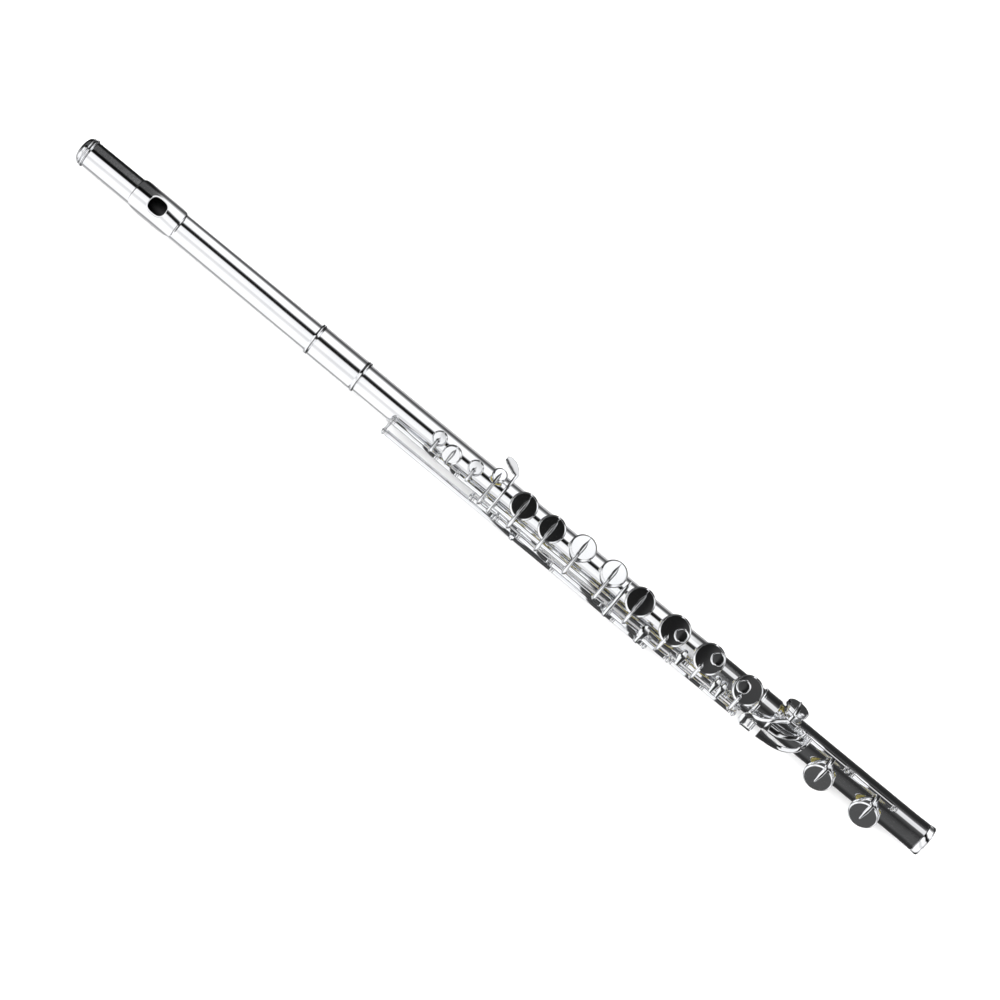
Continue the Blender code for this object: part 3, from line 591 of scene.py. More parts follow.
def trill_keys():
    """Three closed keys on one line: a steel core, a tube on it and a short outer tube on that."""
    axis = hinge_axis("d_sharp_trill_key")
    core, middle = 0.7, 1.35
    x, angle, radius = cup_place("d_sharp_trill_pad")
    low, high = box_of("d_sharp_trill_key")
    parts = [
        rod(low.x, high.x, core, axis, edge=0.15),
        hinge_tube(low.x + 2.2, x + 5.5, axis),
        hinge_tube(high.x - 8.5, high.x - 3.0, axis),
        pointed_arm(x, angle, radius, TRILL_RISE, 0.1),
        *trill_touch(high.x - 6.4, 4.0),
    ]
    key("d_sharp_trill_key", parts, ["d_sharp_trill_pad"], CLOSED_LEAN)

    x, angle, radius = cup_place("c_sharp_trill_pad")
    high = box_of("c_sharp_trill_key")[1]
    rise = [(-9.4, 9.2), (-9.6, 12.0), (-9.4, 14.6)]
    parts = [
        hinge_tube(x - 6.1, x + 9.7, axis),
        rod(x + 9.7, high.x - 23.3, middle, axis, 1.0),
        hinge_tube(high.x - 23.3, high.x, axis),
        pointed_arm(x, angle, radius, rise),
        *trill_touch(high.x - 2.3, 4.0),
    ]
    key("c_sharp_trill_key", parts, ["c_sharp_trill_pad"])

    x, angle, radius = cup_place("d_trill_pad")
    high = box_of("d_trill_key")[1]
    parts = [
        hinge_tube(x - 6.2, high.x, axis, 1.65),
        pointed_arm(x, angle, radius, TRILL_RISE, 0.1),
        *trill_touch(high.x - 5.1, 5.0),
    ]
    key("d_trill_key", parts, ["d_trill_pad"], CLOSED_LEAN)


def c_key():
    """The small cup on the far side, and the curved first-finger rest that stands out beyond it."""
    axis = hinge_axis("c_key")
    high = box_of("c_key")[1]
    x, angle, radius = cup_place("c_pad")
    over_cup = across_cup(angle, radius, ((-0.6, 0.3), (0.2, 0.1)))
    arm_route = route(x, [*MAIN_RISE, (-6.0, 15.8), (0.5, 17.3), *over_cup])
    arm = swept(arm_route, [3.0, 2.2, 2.2, 2.2, 2.2, 2.4, 1.0], ARM_PLATE, section=ridge_section)
    crossing = [*MAIN_RISE, (-6.0, 15.6), (2.0, 15.6), (9.5, 13.6), (14.0, 11.2)]
    arm_x = high.x - 4.5
    touch_arm = swept(route(arm_x, crossing), [3.0, 1.8, 1.8, 1.8, 1.8, 2.0, 2.4], ARM_PLATE)
    rest = swept(
        [
            (arm_x + 0.4, 13.0, 11.8), (arm_x - 2.5, 14.8, 11.2), (arm_x - 6.0, 16.6, 10.9),
            (arm_x - 9.0, 17.5, 11.1), (arm_x - 11.4, 17.8, 11.7),
        ],
        [2.4, 5.0, 6.2, 5.4, 3.4],
        TOUCH_PLATE,
        (0.2, 1, -0.35),
        steps=16,
    )
    key("c_key", [hinge_tube(high.x - 16.4, high.x, axis), arm, touch_arm, rest], ["c_pad"])


def main_row():
    """The open keys over the tube's top, on the main rods."""
    axis = hinge_axis("a_key")
    rows = (
        ("a_sharp_key", ["a_sharp_pad"], -7.6, 8.9), ("a_key", ["a_pad"], -12.6, 11.0),
        ("g_key", ["g_pad_1", "g_pad_2"], -9.1, 6.7),
        ("f_sharp_key", ["f_sharp_pad"], -10.2, 14.3),
    )
    for node, pads, before, after in rows:
        places = [cup_place(name) for name in pads]
        parts = [pointed_arm(*where, MAIN_RISE) for where in places]
        parts.append(hinge_tube(places[0][0] + before, places[-1][0] + after, axis))
        key(node, parts, pads)
    buttoned = (
        ("f_key", "f_pad", -12.7, 6.5, 4.9, 0.0), ("e_key", "e_pad", -16.9, 7.7, 4.0, 3.0),
        ("d_key", "d_pad", -21.9, 0.7, -3.4, 0.0),
    )
    for node, name, before, after, along, across in buttoned:
        x, angle, radius = cup_place(name)
        parts = [
            hinge_tube(x + before, x + after, axis),
            pointed_arm(x - 1.5, angle, radius, MAIN_RISE, -0.45),
            button(x + along, angle, across),
        ]
        key(node, parts, [name])


def lower_keys():
    """The side B flat lever and, on a sleeve round it, the G sharp key with its seat underneath."""
    axis = hinge_axis("side_b_flat_lever")
    low, high = box_of("side_b_flat_lever")
    oval_x = high.x - 7.3
    oval = swept(
        route(oval_x, [(-7.8, 11.6), (-9.6, 12.2), (-12.4, 12.4), (-15.2, 11.8), (-16.4, 10.8)]),
        [1.6, 5.4, 6.2, 5.0, 1.6],
        1.6,
    )
    stem_route = route(oval_x - 0.1, [(-17.2, 0.4), (-19.1, 4.6), (-18.2, 9.0), (-14.2, 12.1)])
    parts = [
        rod(low.x, high.x, ROD, axis),
        hinge_tube(low.x + 2.2, low.x + 133.8, axis),
        hinge_tube(high.x - 26.0, high.x - 2.8, axis),
        oval,
        swept(stem_route, [3.2, 2.4, 2.3, 2.2], 1.3),
        swept(route(low.x + 102.4, [(-17.2, 0.4), (-19.0, 5.0), (-18.0, 8.6)]), [3.0, 2.4, 2.4], 1.5),
    ]
    key("side_b_flat_lever", parts, [])

    high = box_of("g_sharp_key")[1]
    x, angle, radius = cup_place("g_sharp_pad")
    over_cup = across_cup(angle, radius, ((0.85, -0.1), (0, 0.3), (-0.8, -0.3)))
    under = [(-16.6, -1.2), (-15.4, -7.6), (-10.6, -13.6)]
    arm = swept(route(x, under + over_cup), [3.2, 2.6, 2.4, 2.4, 2.6, 1.0], ARM_PLATE)
    rise = [(-17.2, 0.4), (-18.9, 4.8), (-18.2, 10.0), (-14.0, 14.4)]
    touch_route = route(high.x - 6.35, [*rise, (-7.0, 17.0), (1.0, 17.8), (6.5, 17.2)])
    touch = swept(touch_route, [2.6, 2.4, 2.4, 2.4, 2.4, 2.2, 1.0], ARM_PLATE)
    key("g_sharp_key", [hinge_tube(x - 5.9, high.x, axis), arm, touch], ["g_sharp_pad"])


def thumb_keys():
    """The thumb's B natural key, which covers the hole underneath, and its B flat lever."""
    axis = hinge_axis("thumb_b_key")
    x, angle, radius = cup_place("thumb_b_pad")
    rise = [(-9.6, -10.2), (-9.4, -13.4)]
    over_cup = across_cup(angle, radius, ((0.85, -0.2), (0, 0.3), (-0.8, -0.3)))
    arm = swept(route(x, rise + over_cup), [3.0, 2.4, 2.4, 2.6, 1.0], ARM_PLATE)
    leaf_route = [(-9.4, -10.2), (-9.0, -13.8), (-4.0, -15.4), (3.0, -15.6), (8.5, -13.6)]
    leaf = swept(route(x + 12.5, leaf_route), [5.0, 7.0, 8.4, 8.0, 4.0], TOUCH_PLATE)
    key("thumb_b_key", [hinge_tube(x - 7.5, x + 17.5, axis), arm, leaf], ["thumb_b_pad"])
    low, high = box_of("thumb_b_flat_lever")
    leaf = swept(route(low.x + 5.8, leaf_route), [4.0, 5.0, 7.0, 7.6, 4.0], TOUCH_PLATE)
    key("thumb_b_flat_lever", [hinge_tube(low.x, high.x, axis), leaf], [])


def foot_arm(x, angle, radius):
    """The arm from the foot's rod out over a cup on the near side."""
    over_cup = across_cup(angle, radius, ((0.96, 0.6), (0.4, 0.4), (-0.3, 0.0)))
    arm_route = route(x, [(1.2, 14.2), (-3.0, 17.2), *over_cup])
    return swept(arm_route, [3.0, 2.4, 2.4, 2.4, 1.0], ARM_PLATE)


def foot_keys():
    """The foot's three keys. Low C's core passes through low C sharp's hinge tube."""
    axis = hinge_axis("e_flat_key")
    x, angle, radius = cup_place("e_flat_pad")
    over_cup = across_cup(angle, radius, ((-0.6, 0.3), (0.8, 0)))
    arm = swept(route(x, [(2.8, 14.2), (6.4, 16.6), *over_cup]), [3.0, 2.6, 2.8, 1.0], ARM_PLATE)
    touch_arm = swept(
        [
            (x - 1.4, 1.4, 14.4), (x - 7.6, -3.6, 14.4), (x - 13.2, -7.4, 12.9),
            (x - 18.6, -9.2, 12.1), (x - 22.4, -11.6, 11.5),
        ],
        [3.0, 2.4, 2.4, 3.0, 4.4],
        ARM_PLATE,
        (0.6, 1, 0.3),
    )
    leaf = swept(
        [
            (x - 22.0, -9.6, 11.8), (x - 22.7, -12.4, 11.3), (x - 22.5, -15.6, 10.3),
            (x - 21.6, -18.0, 9.1),
        ],
        [1.4, 5.0, 5.4, 1.4],
        TOUCH_PLATE,
    )
    fork = [
        swept([(x - 21.6, y, z), (x - 18.0, y, z), (x - 14.8, y, z)], [1.0] * 3, 2.4, (0, 1, 0))
        for y, z in ((-9.9, 11.3), (-17.3, 9.5))
    ]
    parts = [hinge_tube(x - 3.8, x + 6.6, axis), arm, touch_arm, leaf, *fork]
    key("e_flat_key", parts, ["e_flat_pad"])

    x, angle, radius = cup_place("low_c_sharp_pad")
    wedge = swept(
        [
            (x - 18.4, 1.6, 14.0), (x - 18.8, -4.0, 14.4), (x - 21.4, -9.6, 13.0),
            (x - 28.9, -13.8, 10.9), (x - 37.4, -15.0, 10.4), (x - 45.8, -15.0, 10.45),
        ],
        [2.8, 2.6, 2.6, 3.2, 4.4, 5.8],
        ARM_PLATE,
        (0.3, 1, 0.3),
    )
    parts = [hinge_tube(x - 20.6, x + 9.8, axis), foot_arm(x, angle, radius), wedge]
    key("low_c_sharp_key", parts, ["low_c_sharp_pad"])

    high = box_of("low_c_key")[1]
    x, angle, radius = cup_place("low_c_pad")
    plate = swept(
        [
            (x - 59.0, 1.8, 14.0), (x - 60.6, -2.6, 14.8), (x - 66.0, -6.8, 14.0),
            (x - 72.0, -8.8, 13.0), (x - 77.8, -9.2, 12.7),
        ],
        [2.8, 2.4, 3.0, 4.2, 4.4],
        ARM_PLATE,
        (0.3, 1, 0.2),
    )
    parts = [
        rod(x - 62.4, high.x, ROD, axis),
        hinge_tube(x - 61.1, x - 56.6, axis),
        hinge_tube(x - 20.6, x + 11.4, axis),
        foot_arm(x, angle, radius),
        plate,
    ]
    key("low_c_key", parts, ["low_c_pad"])


def roller():
    """The roller at the E flat key's touch, on its own axle line."""
    joint = JOINTS["e_flat_roller"]
    centre = TO_FLUTE @ Vector(joint["pos_m"])
    line = Vector(joint["axis"])
    half, radius = 2.88, 2.0
    profile = [(-half, 0)]
    for i in range(9):
        share = math.radians(-80 + 160 * i / 8)
        profile.append((half * math.sin(share), radius * (0.72 + 0.28 * math.cos(share) ** 0.5)))
    profile.append((half, 0))
    turn = line.to_track_quat("X", "Z").to_matrix().to_4x4()
    place("e_flat_roller", moved(turned(profile, 40), Matrix.Translation(centre) @ turn))


# ---------------------------------------------------------------- tubes


def seats(cups, tube):
    """The chimneys on a tube and the cutters of their holes."""
    chimneys, holes = [], []
    for x, angle, radius in cups:
        outer = min(radius - SEAT_LIP, WIDEST_SEAT)
        inner = outer - CHIMNEY_WALL
        chimneys.append(chimney(x, angle, outer, inner, tube))
        holes.append(moved(rod(2.5, SEAT + 1, inner, edge=0.02, sides=48), radial(x, angle)))
    return chimneys, holes


def chimney(x, angle, outer, inner, tube):
    """A seat's wall: it follows the tube at its foot and has a rolled rim."""
    bm = bmesh.new()
    sides = 60
    rows = []
    rings = [(outer + 0.45, "foot"), (outer + 0.1, "fillet"), (outer, "wall")]
    rings += [(outer, SEAT - 0.35), (outer - 0.12, SEAT - 0.06), (outer - 0.35, SEAT)]
    rings += [(inner + 0.1, SEAT - 0.06), (inner, SEAT - 0.3), (inner, "inside")]
    for radius, height in rings:
        row = []
        for i in range(sides):
            turn = math.tau * i / sides
            across = radius * math.cos(turn)
            saddle = math.sqrt(max(tube**2 - min(abs(across), tube) ** 2, 0))
            level = {
                "foot": saddle - 0.05,
                "fillet": saddle + 0.3,
                "wall": saddle + 0.7,
                "inside": saddle - 0.45,
            }.get(height, height)
            row.append(bm.verts.new((level, across, radius * math.sin(turn))))
        rows.append(row)
    for first, second in zip(rows, rows[1:] + rows[:1]):
        for i in range(sides):
            j = (i + 1) % sides
            bm.faces.new((first[i], first[j], second[j], second[i]))
    across_tube = Matrix.Rotation(-angle, 4, "X") @ Matrix(
        ((0, 0, 1, 0), (0, 1, 0, 0), (1, 0, 0, 0), (0, 0, 0, 1))
    )
    return moved(mesh_of(bm), Matrix.Translation((x, 0, 0)) @ across_tube)


BODY_PADS = (
    "d_sharp_trill_pad",
    "c_sharp_trill_pad",
    "d_trill_pad",
    "c_pad",
    "a_sharp_pad",
    "a_pad",
    "g_pad_1",
    "g_pad_2",
    "f_sharp_pad",
    "f_pad",
    "e_pad",
    "d_pad",
    "thumb_b_pad",
    "g_sharp_pad",
)
FOOT_PADS = ("e_flat_pad", "low_c_sharp_pad", "low_c_pad")
TUBE = 9.7
BORE = 9.4
SOCKET_BORE = TUBE + 0.3


def pierced(profile, pads, node):
    """A tube with its tone holes and the seats round them."""
    chimneys, holes = seats([cup_place(name) for name in pads], TUBE)
    wall = cut(turned(profile, FINE), joined(holes))
    place(node, joined([wall, *chimneys]), 30.0, True)


def body_tube():
    """The body's tube with its fourteen holes and seats."""
    low, high = box_of("body_tube")
    profile = [
        (low.x, BORE), (low.x, TUBE - 0.1), (low.x + 0.1, TUBE), (high.x - 0.1, TUBE),
        (high.x, TUBE - 0.1), (high.x, BORE),
    ]
    pierced(profile, BODY_PADS, "body_tube")


def bead(start, end, low, high):
    """Profile of a rounded ring from radius low up to high and back."""
    points = []
    for i in range(9):
        angle = math.pi * i / 8
        along = start + (end - start) * (1 - math.cos(angle)) / 2
        points.append((along, low + (high - low) * math.sin(angle) ** 0.6))
    return points


def foot_tube():
    """The foot joint: a socket with a beaded ring, the tube and its end ring."""
    low, high = box_of("foot_tube")
    start, end = low.x, high.x
    socket, ring, socket_end = 10.6, 11.0, start + 13.0
    profile = [
        (start, SOCKET_BORE),
        *bead(start, start + 2.6, socket, ring),
        (start + 3.0, socket), (socket_end - 0.6, socket), (socket_end + 0.2, socket - 0.3),
        (socket_end + 1.0, TUBE + 0.1), (socket_end + 1.6, TUBE), (end - 14.5, TUBE),
        (end - 13.5, TUBE + 0.02), (end - 5.2, TUBE + 0.25), (end - 5.0, TUBE + 0.12),
        (end - 4.7, TUBE + 0.12), (end - 4.4, TUBE + 0.4), (end - 4.2, TUBE + 0.45),
        (end - 0.9, TUBE + 0.69), (end - 0.7, TUBE + 0.7), (end - 0.3, TUBE + 0.55),
        (end, TUBE + 0.25), (end, BORE + 0.1), (end - 0.15, BORE), (socket_end + 0.5, BORE),
        (socket_end + 0.3, SOCKET_BORE),
    ]
    pierced(profile, FOOT_PADS, "foot_tube")


def head_tube():
    """The head joint's tapered tube with the blow hole cut through it."""
    low, high = box_of("head_tube")
    start, end = low.x, high.x
    taper_end = box_of("barrel")[0].x - 30
    outer = ((start, 8.85), (taper_end, 9.4), (end, 9.4))
    profile = []
    for (x0, r0), (x1, r1) in zip(outer, outer[1:]):
        profile += [(x0 + (x1 - x0) * i / 8, r0 + (r1 - r0) * i / 8) for i in range(8)]
    profile += [(end - 0.2, 9.4), (end, 9.3), (end, 9.15), (taper_end, 9.15), (start, 8.5)]
    wall = cut(turned(profile, FINE), blow_hole(2.0, 14.0, 0.0))
    place("head_tube", wall, 30.0, True)


def lip_centre():
    """The lip plate's middle along the tube, and half its length."""
    low, high = box_of("lip_plate")
    return (low.x + high.x) / 2, (high.x - low.x) / 2


HOLE = (6.0, 5.0)  # half length and half width of the blow hole
HOLE_SQUARE = 2.7  # power of its rounded outline


def blow_hole(low, high, gap, sides=64):
    """A prism of the blow hole's outline, larger by the gap."""
    centre = lip_centre()[0]
    bm = bmesh.new()
    rings = []
    for level in (low, high):
        ring = []
        for i in range(sides):
            turn = math.tau * i / sides
            c, s = math.cos(turn), math.sin(turn)
            x = math.copysign(abs(c) ** (2 / HOLE_SQUARE), c) * (HOLE[0] + gap)
            y = math.copysign(abs(s) ** (2 / HOLE_SQUARE), s) * (HOLE[1] + gap)
            ring.append(bm.verts.new((centre + x, y, level)))
        rings.append(ring)
    for i in range(sides):
        j = (i + 1) % sides
        bm.faces.new((rings[0][i], rings[0][j], rings[1][j], rings[1][i]))
    bm.faces.new(rings[0])
    bm.faces.new(rings[1])
    return mesh_of(bm)


def lip_plate():
    """A curved plate: high over the blow hole, close to the tube at its sides."""
    centre, half_length = lip_centre()
    half_length /= 0.985
    columns, rows = 60, 48
    half_angle, outline = math.radians(84), 3.2
    edge, top, thickness = 10.35, 12.0, 0.9
    bm = bmesh.new()
    grids = []
    for under in (0, 1):
        grid = []
        for i in range(columns + 1):
            u = math.sin(math.pi / 2 * (2 * i / columns - 1)) * 0.985
            reach = half_angle * (1 - abs(u) ** outline) ** (1 / outline)
            line = []
            for j in range(rows + 1):
                share = 2 * j / rows - 1
                angle = reach * math.sin(share * math.pi / 2)
                rise = math.cos(min(abs(angle) * 1.05, math.pi / 2)) ** 2
                height = edge + (top - edge) * rise * (1 - 0.25 * u * u)
                close = max(abs(share), abs(u) / 0.985)
                soft = 0.3 * max(0.0, (close - 0.94) / 0.06) ** 2
                height -= thickness if under else soft * 2.0
                x = centre + u * half_length
                line.append(bm.verts.new((x, height * math.sin(angle), height * math.cos(angle))))
            grid.append(line)
        grids.append(grid)
    upper, lower = grids
    for grid in grids:
        for one, two in zip(grid, grid[1:]):
            for j in range(rows):
                bm.faces.new((one[j], one[j + 1], two[j + 1], two[j]))
    for end in (0, -1):
        for j in range(rows):
            bm.faces.new((upper[end][j], upper[end][j + 1], lower[end][j + 1], lower[end][j]))
        for one, two, three, four in zip(upper, upper[1:], lower, lower[1:]):
            bm.faces.new((one[end], two[end], four[end], three[end]))
    plate = cut(mesh_of(bm), blow_hole(4.0, 16.0, 0.35))
    place("lip_plate", plate, 40.0)


def riser():
    """The wall between the tube and the lip plate, round the blow hole, and its soft top edge."""
    wall = cut(blow_hole(7.6, 11.5, 0.8), blow_hole(0.0, 14.0, 0.0))
    core = rod(lip_centre()[0] - 12, lip_centre()[0] + 12, 9.12, sides=FINE)
    place("embouchure_riser", cut(wall, core), 40.0, True)


def crown():
    """The cap that closes the head joint: a dome with two turned rings."""
    profile = [
        (5.2, 0), (5.2, 2.0), (12.0, 2.0), (12.0, 8.2),
        (7.0, 8.2), (7.0, 9.3),
        *reversed(bead(5.3, 6.9, 9.1, 9.88)),
        (5.1, 9.0),
        *reversed(bead(3.5, 4.9, 8.8, 9.35)),
        (3.3, 8.7),
    ]
    for i in range(1, 13):
        angle = math.radians(90 * i / 12)
        profile.append((3.3 * (1 - math.sin(angle)), 8.6 * math.cos(angle) ** 0.7))
    profile[-1] = (0.0, 0)
    place("crown", turned(profile, FINE), 30.0)


def barrel():
    """The body's sleeve for the head joint, with a beaded ring at each end."""
    low, high = box_of("barrel")
    start, end = low.x, high.x
    outer, ring, bore = 10.35, 10.85, SOCKET_BORE
    profile = [
        (start, bore),
        *bead(start, start + 2.4, outer - 0.1, ring),
        (start + 2.7, outer - 0.25), (start + 3.1, outer), (end - 3.1, outer),
        (end - 2.7, outer - 0.25),
        *bead(end - 2.4, end, outer - 0.1, ring),
        (end, bore),
    ]
    place("barrel", turned(profile, FINE), 30.0)


def stopper():
    """The cork with its spindle, reflecting plate and nut."""
    low, high = box_of("stopper_cork")
    place("stopper_cork", rod(low.x, high.x, 8.2, bore=1.9, edge=0.6, sides=FINE), 40.0)
    low, high = box_of("stopper_nut")
    place("stopper_nut", rod(low.x, high.x, 7.0, bore=1.9, edge=0.3, sides=FINE), 40.0)
    low, high = box_of("stopper_screw")
    plate = high.x - 1.3
    profile = [(low.x, 0), (low.x, 1.3)]
    threads = 28
    pitch = (plate - low.x - 1.0) / threads
    for i in range(threads):
        profile.append((low.x + 0.5 + pitch * i, 1.35))
        profile.append((low.x + 0.5 + pitch * (i + 0.5), 1.6))
    profile += [(plate, 1.4), (plate, 8.0), (plate + 0.3, 8.2), (high.x - 0.2, 8.2)]
    profile += [(high.x, 8.0), (high.x, 0)]
    place("stopper_screw", turned(profile, 64), 40.0)


# ---------------------------------------------------------------- posts and rods


RIB_INNER, RIB_OUTER = 10.0, 10.7
POST_FOOT = 10.5


def arc_plate(start, end, inner, outer, first, last):
    """A plate bent round the tube from angle first to last, with softened long edges."""
    middle = (inner + outer) / 2
    half = (last - first) / 2 * middle
    thick = outer - inner
    centre = (first + last) / 2
    bm = bmesh.new()
    rows = []
    for x, share in ((start, 0.9), (start + 0.25, 1.0), (end - 0.25, 1.0), (end, 0.9)):
        row = []
        for across, up in fine_section(half, thick):
            radius = middle + up * share
            angle = centre + across * share / middle if share < 1 else centre + across / middle
            row.append(bm.verts.new((x, radius * math.sin(angle), radius * math.cos(angle))))
        rows.append(row)
    size = len(rows[0])
    for first_row, second_row in zip(rows, rows[1:]):
        for i in range(size):
            j = (i + 1) % size
            bm.faces.new((first_row[i], first_row[j], second_row[j], second_row[i]))
    bm.faces.new(rows[0])
    bm.faces.new(rows[-1])
    return mesh_of(bm)


def fine_section(half, thick):
    """A plate's section with points along its width too, so that it can bend."""
    steps = max(4, int(half))
    bevel = thick * 0.3
    top = [(half - bevel) * (1 - 2 * i / steps) for i in range(steps + 1)]
    points = [(half, -thick / 2 + bevel), (half, thick / 2 - bevel)]
    points += [(a, thick / 2) for a in top]
    points += [(-half, thick / 2 - bevel), (-half, -thick / 2 + bevel)]
    points += [(-a, -thick / 2) for a in top]
    return points


def post(x, axis, angle, radius=2.5, screw=0):
    """A turned post: a flared stem from the rib up to a ball on the axis. A pivot screw's head shows
    on its lower side in x for screw -1, or on its upper side for 1."""
    base = Vector((x, POST_FOOT * math.sin(angle), POST_FOOT * math.cos(angle)))
    top = Vector((x, *axis))
    line = top - base
    length = line.length
    stem = [(0, 0), (0, 1.3), (0.3, 1.3), (0.6, 1.0), (length * 0.5, 0.8), (length, 0.8), (length, 0)]
    up = line.to_track_quat("X", "Z").to_matrix().to_4x4()
    flat = 0.52
    ball = [(-radius * flat, 0)]
    for i in range(1, 12):
        turn = math.pi * i / 12
        ball.append((-radius * flat * math.cos(turn), radius * math.sin(turn) ** 0.75))
    ball.append((radius * flat, 0))
    pieces = [
        moved(turned(stem, 20), Matrix.Translation(base) @ up),
        moved(turned(ball, 32), Matrix.Translation(top)),
    ]
    if screw:
        pieces.append(pivot_screw(x + screw * radius * flat, axis, screw))
    return pieces


def pivot_screw(x, axis, outward):
    """The slotted head of a pivot screw, centred on the post's outer face at x."""
    head = rod(x - 0.25, x + 0.25, 1.15, axis, edge=0.12)
    slot_box = bmesh.new()
    bmesh.ops.create_cube(slot_box, size=1.0)
    slot = mesh_of(slot_box)
    face = Matrix.Translation((x + outward * 0.25, *axis))
    slot.transform(face @ Matrix.Diagonal((0.4, 3.0, 0.35, 1)))
    return cut(head, slot)


def ribs():
    """The three ribs that carry the posts."""
    main_axis = hinge_axis("a_key")
    trill_axis = hinge_axis("d_sharp_trill_key")
    low_axis = hinge_axis("side_b_flat_lever")
    inner, outer = RIB_INNER, RIB_OUTER
    side, high = math.radians(-84), math.radians(-52)
    low, up = box_of("main_rib")
    start, end = low.x, up.x
    trill_low, trill_high = box_of("d_sharp_trill_key")
    trill_posts = (trill_low.x + 0.5, trill_high.x - 0.8)
    pieces = [arc_plate(start, end, inner, outer, math.radians(-94), math.radians(-74))]
    branch = (inner + 0.06, outer - 0.08, math.radians(-78), math.radians(-47))
    for x, screw in zip(trill_posts, (-1, 1)):
        pieces.append(arc_plate(x - 1.5, x + 1.5, *branch))
        pieces += post(x, trill_axis, high, 2.1, screw)
    lever_low, lever_high = box_of("side_b_flat_lever")
    for x, screw in ((lever_low.x + 0.5, -1), (lever_high.x - 1.1, 1)):
        pieces += post(x, low_axis, side, screw=screw)
    rod_low, rod_high = box_of("main_rod_upper")[0].x, box_of("main_rod_lower")[1].x
    split = box_of("main_rod_lower")[0].x - 0.2
    main_posts = (rod_low + 0.9, rod_low + 20.4, split, split + 49.3, rod_high - 1.0)
    for x, screw in zip(main_posts, (-1, 0, 0, 0, 1)):
        pieces += post(x, main_axis, side, screw=screw)
    place("main_rib", joined(pieces), 40.0)

    low, up = box_of("thumb_rib")
    axis = hinge_axis("thumb_b_key")
    pieces = [arc_plate(low.x, up.x, inner, outer, math.radians(-141), math.radians(-127))]
    rod_low, rod_high = box_of("thumb_rod")
    for x, screw in ((rod_low.x + 1.0, -1), (rod_high.x - 1.0, 1)):
        pieces += post(x, axis, math.radians(-136), 2.2, screw)
    place("thumb_rib", joined(pieces), 40.0)

    low, up = box_of("foot_rib")
    axis = hinge_axis("low_c_key")
    pieces = [arc_plate(low.x, up.x, inner, outer, math.radians(4), math.radians(16))]
    for offset, screw in ((0.7, -1), (14.4, 0), (54.0, 0), (90.4, 1)):
        pieces += post(low.x + offset, axis, math.radians(10), 2.0, screw)
    place("foot_rib", joined(pieces), 40.0)


def rods():
    """The steel rods between the posts."""
    spans = (
        ("main_rod_upper", "a_key"), ("main_rod_lower", "a_key"), ("thumb_rod", "thumb_b_key"),
        ("e_flat_rod", "e_flat_key"),
    )
    for node, body in spans:
        low, high = box_of(node)
        place(node, rod(low.x, high.x, ROD, hinge_axis(body), edge=0.2))


# ---------------------------------------------------------------- light, floor and camera

CAMERA_DISTANCE = 2.2
VIEW_ELEVATION = math.radians(83.5)
VIEW_ROLL = math.radians(39.47)
PICTURE_WIDTH = 0.6127  # metres across the picture at the flute


def camera():
    """Looks down on the keys from the near side, with the flute running down to the right."""
    target = Vector((0.0004, -0.0040, ORIGIN.z))
    back = Vector((0, -math.cos(VIEW_ELEVATION), math.sin(VIEW_ELEVATION)))
    data = bpy.data.cameras.new("camera")
    data.sensor_width = 36.0
    data.lens = data.sensor_width * CAMERA_DISTANCE / PICTURE_WIDTH
    data.clip_end = 50
    made = bpy.data.objects.new("camera", data)
    right = Vector((1, 0, 0))
    up = back.cross(right)
    upright = Matrix((right, up, back)).transposed().to_4x4()
    roll = Matrix.Rotation(VIEW_ROLL, 4, "Z")
    made.matrix_world = Matrix.Translation(target + back * CAMERA_DISTANCE) @ upright @ roll
    SCENE.collection.objects.link(made)
    SCENE.camera = made


def floor():
    """A plain pale floor."""
    bm = bmesh.new()
    bmesh.ops.create_grid(bm, x_segments=1, y_segments=1, size=12)
    mesh = mesh_of(bm)
    made, tree, shader = nodes_of("floor")
    tone = noise(tree, 0.6)
    colour = two_colours(tree, tone.outputs["Fac"], (0.93, 0.93, 0.93), (0.94, 0.94, 0.94))
    tree.links.new(colour, shader.inputs["Base Color"])
    shader.inputs["Roughness"].default_value = 0.9
    shader.inputs["Specular IOR Level"].default_value = 0.0
    mesh.materials.append(made)
    ground = bpy.data.objects.new("floor", mesh)
    ground.location.z = min(cad_box[0].z, 0) - 0.0002
    ground.visible_glossy = False
    SCENE.collection.objects.link(ground)


def maths(tree, operation, *values):
    """A maths node's result; each value is a number or a socket."""
    node = tree.nodes.new("ShaderNodeMath")
    node.operation = operation
    for socket, value in zip(node.inputs, values):
        if isinstance(value, (int, float)):
            socket.default_value = value
        else:
            tree.links.new(value, socket)
    return node.outputs[0]


def bands(tree, angle, stops):
    """Brightness by angle, through (degrees, brightness) stops from -180 to 180."""
    share = maths(tree, "ADD", maths(tree, "DIVIDE", angle, math.tau), 0.5)
    ramp = tree.nodes.new("ShaderNodeValToRGB")
    elements = ramp.color_ramp.elements
    for degrees, value in stops[1:-1]:
        elements.new((degrees + 180) / 360)
    for element, (degrees, value) in zip(elements, stops):
        element.position = (degrees + 180) / 360
        element.color = (value, value, value * 1.01, 1)
    tree.links.new(share, ramp.inputs["Fac"])
    return ramp.outputs["Color"]


STUDIO_LIGHT = 1.15
DARKEST = 0.09
# Degrees towards the foot: the dark panel fades in over the first two and out over the last two.
FOOT_PANEL = (3.5, 4.5, 26.0, 36.0)
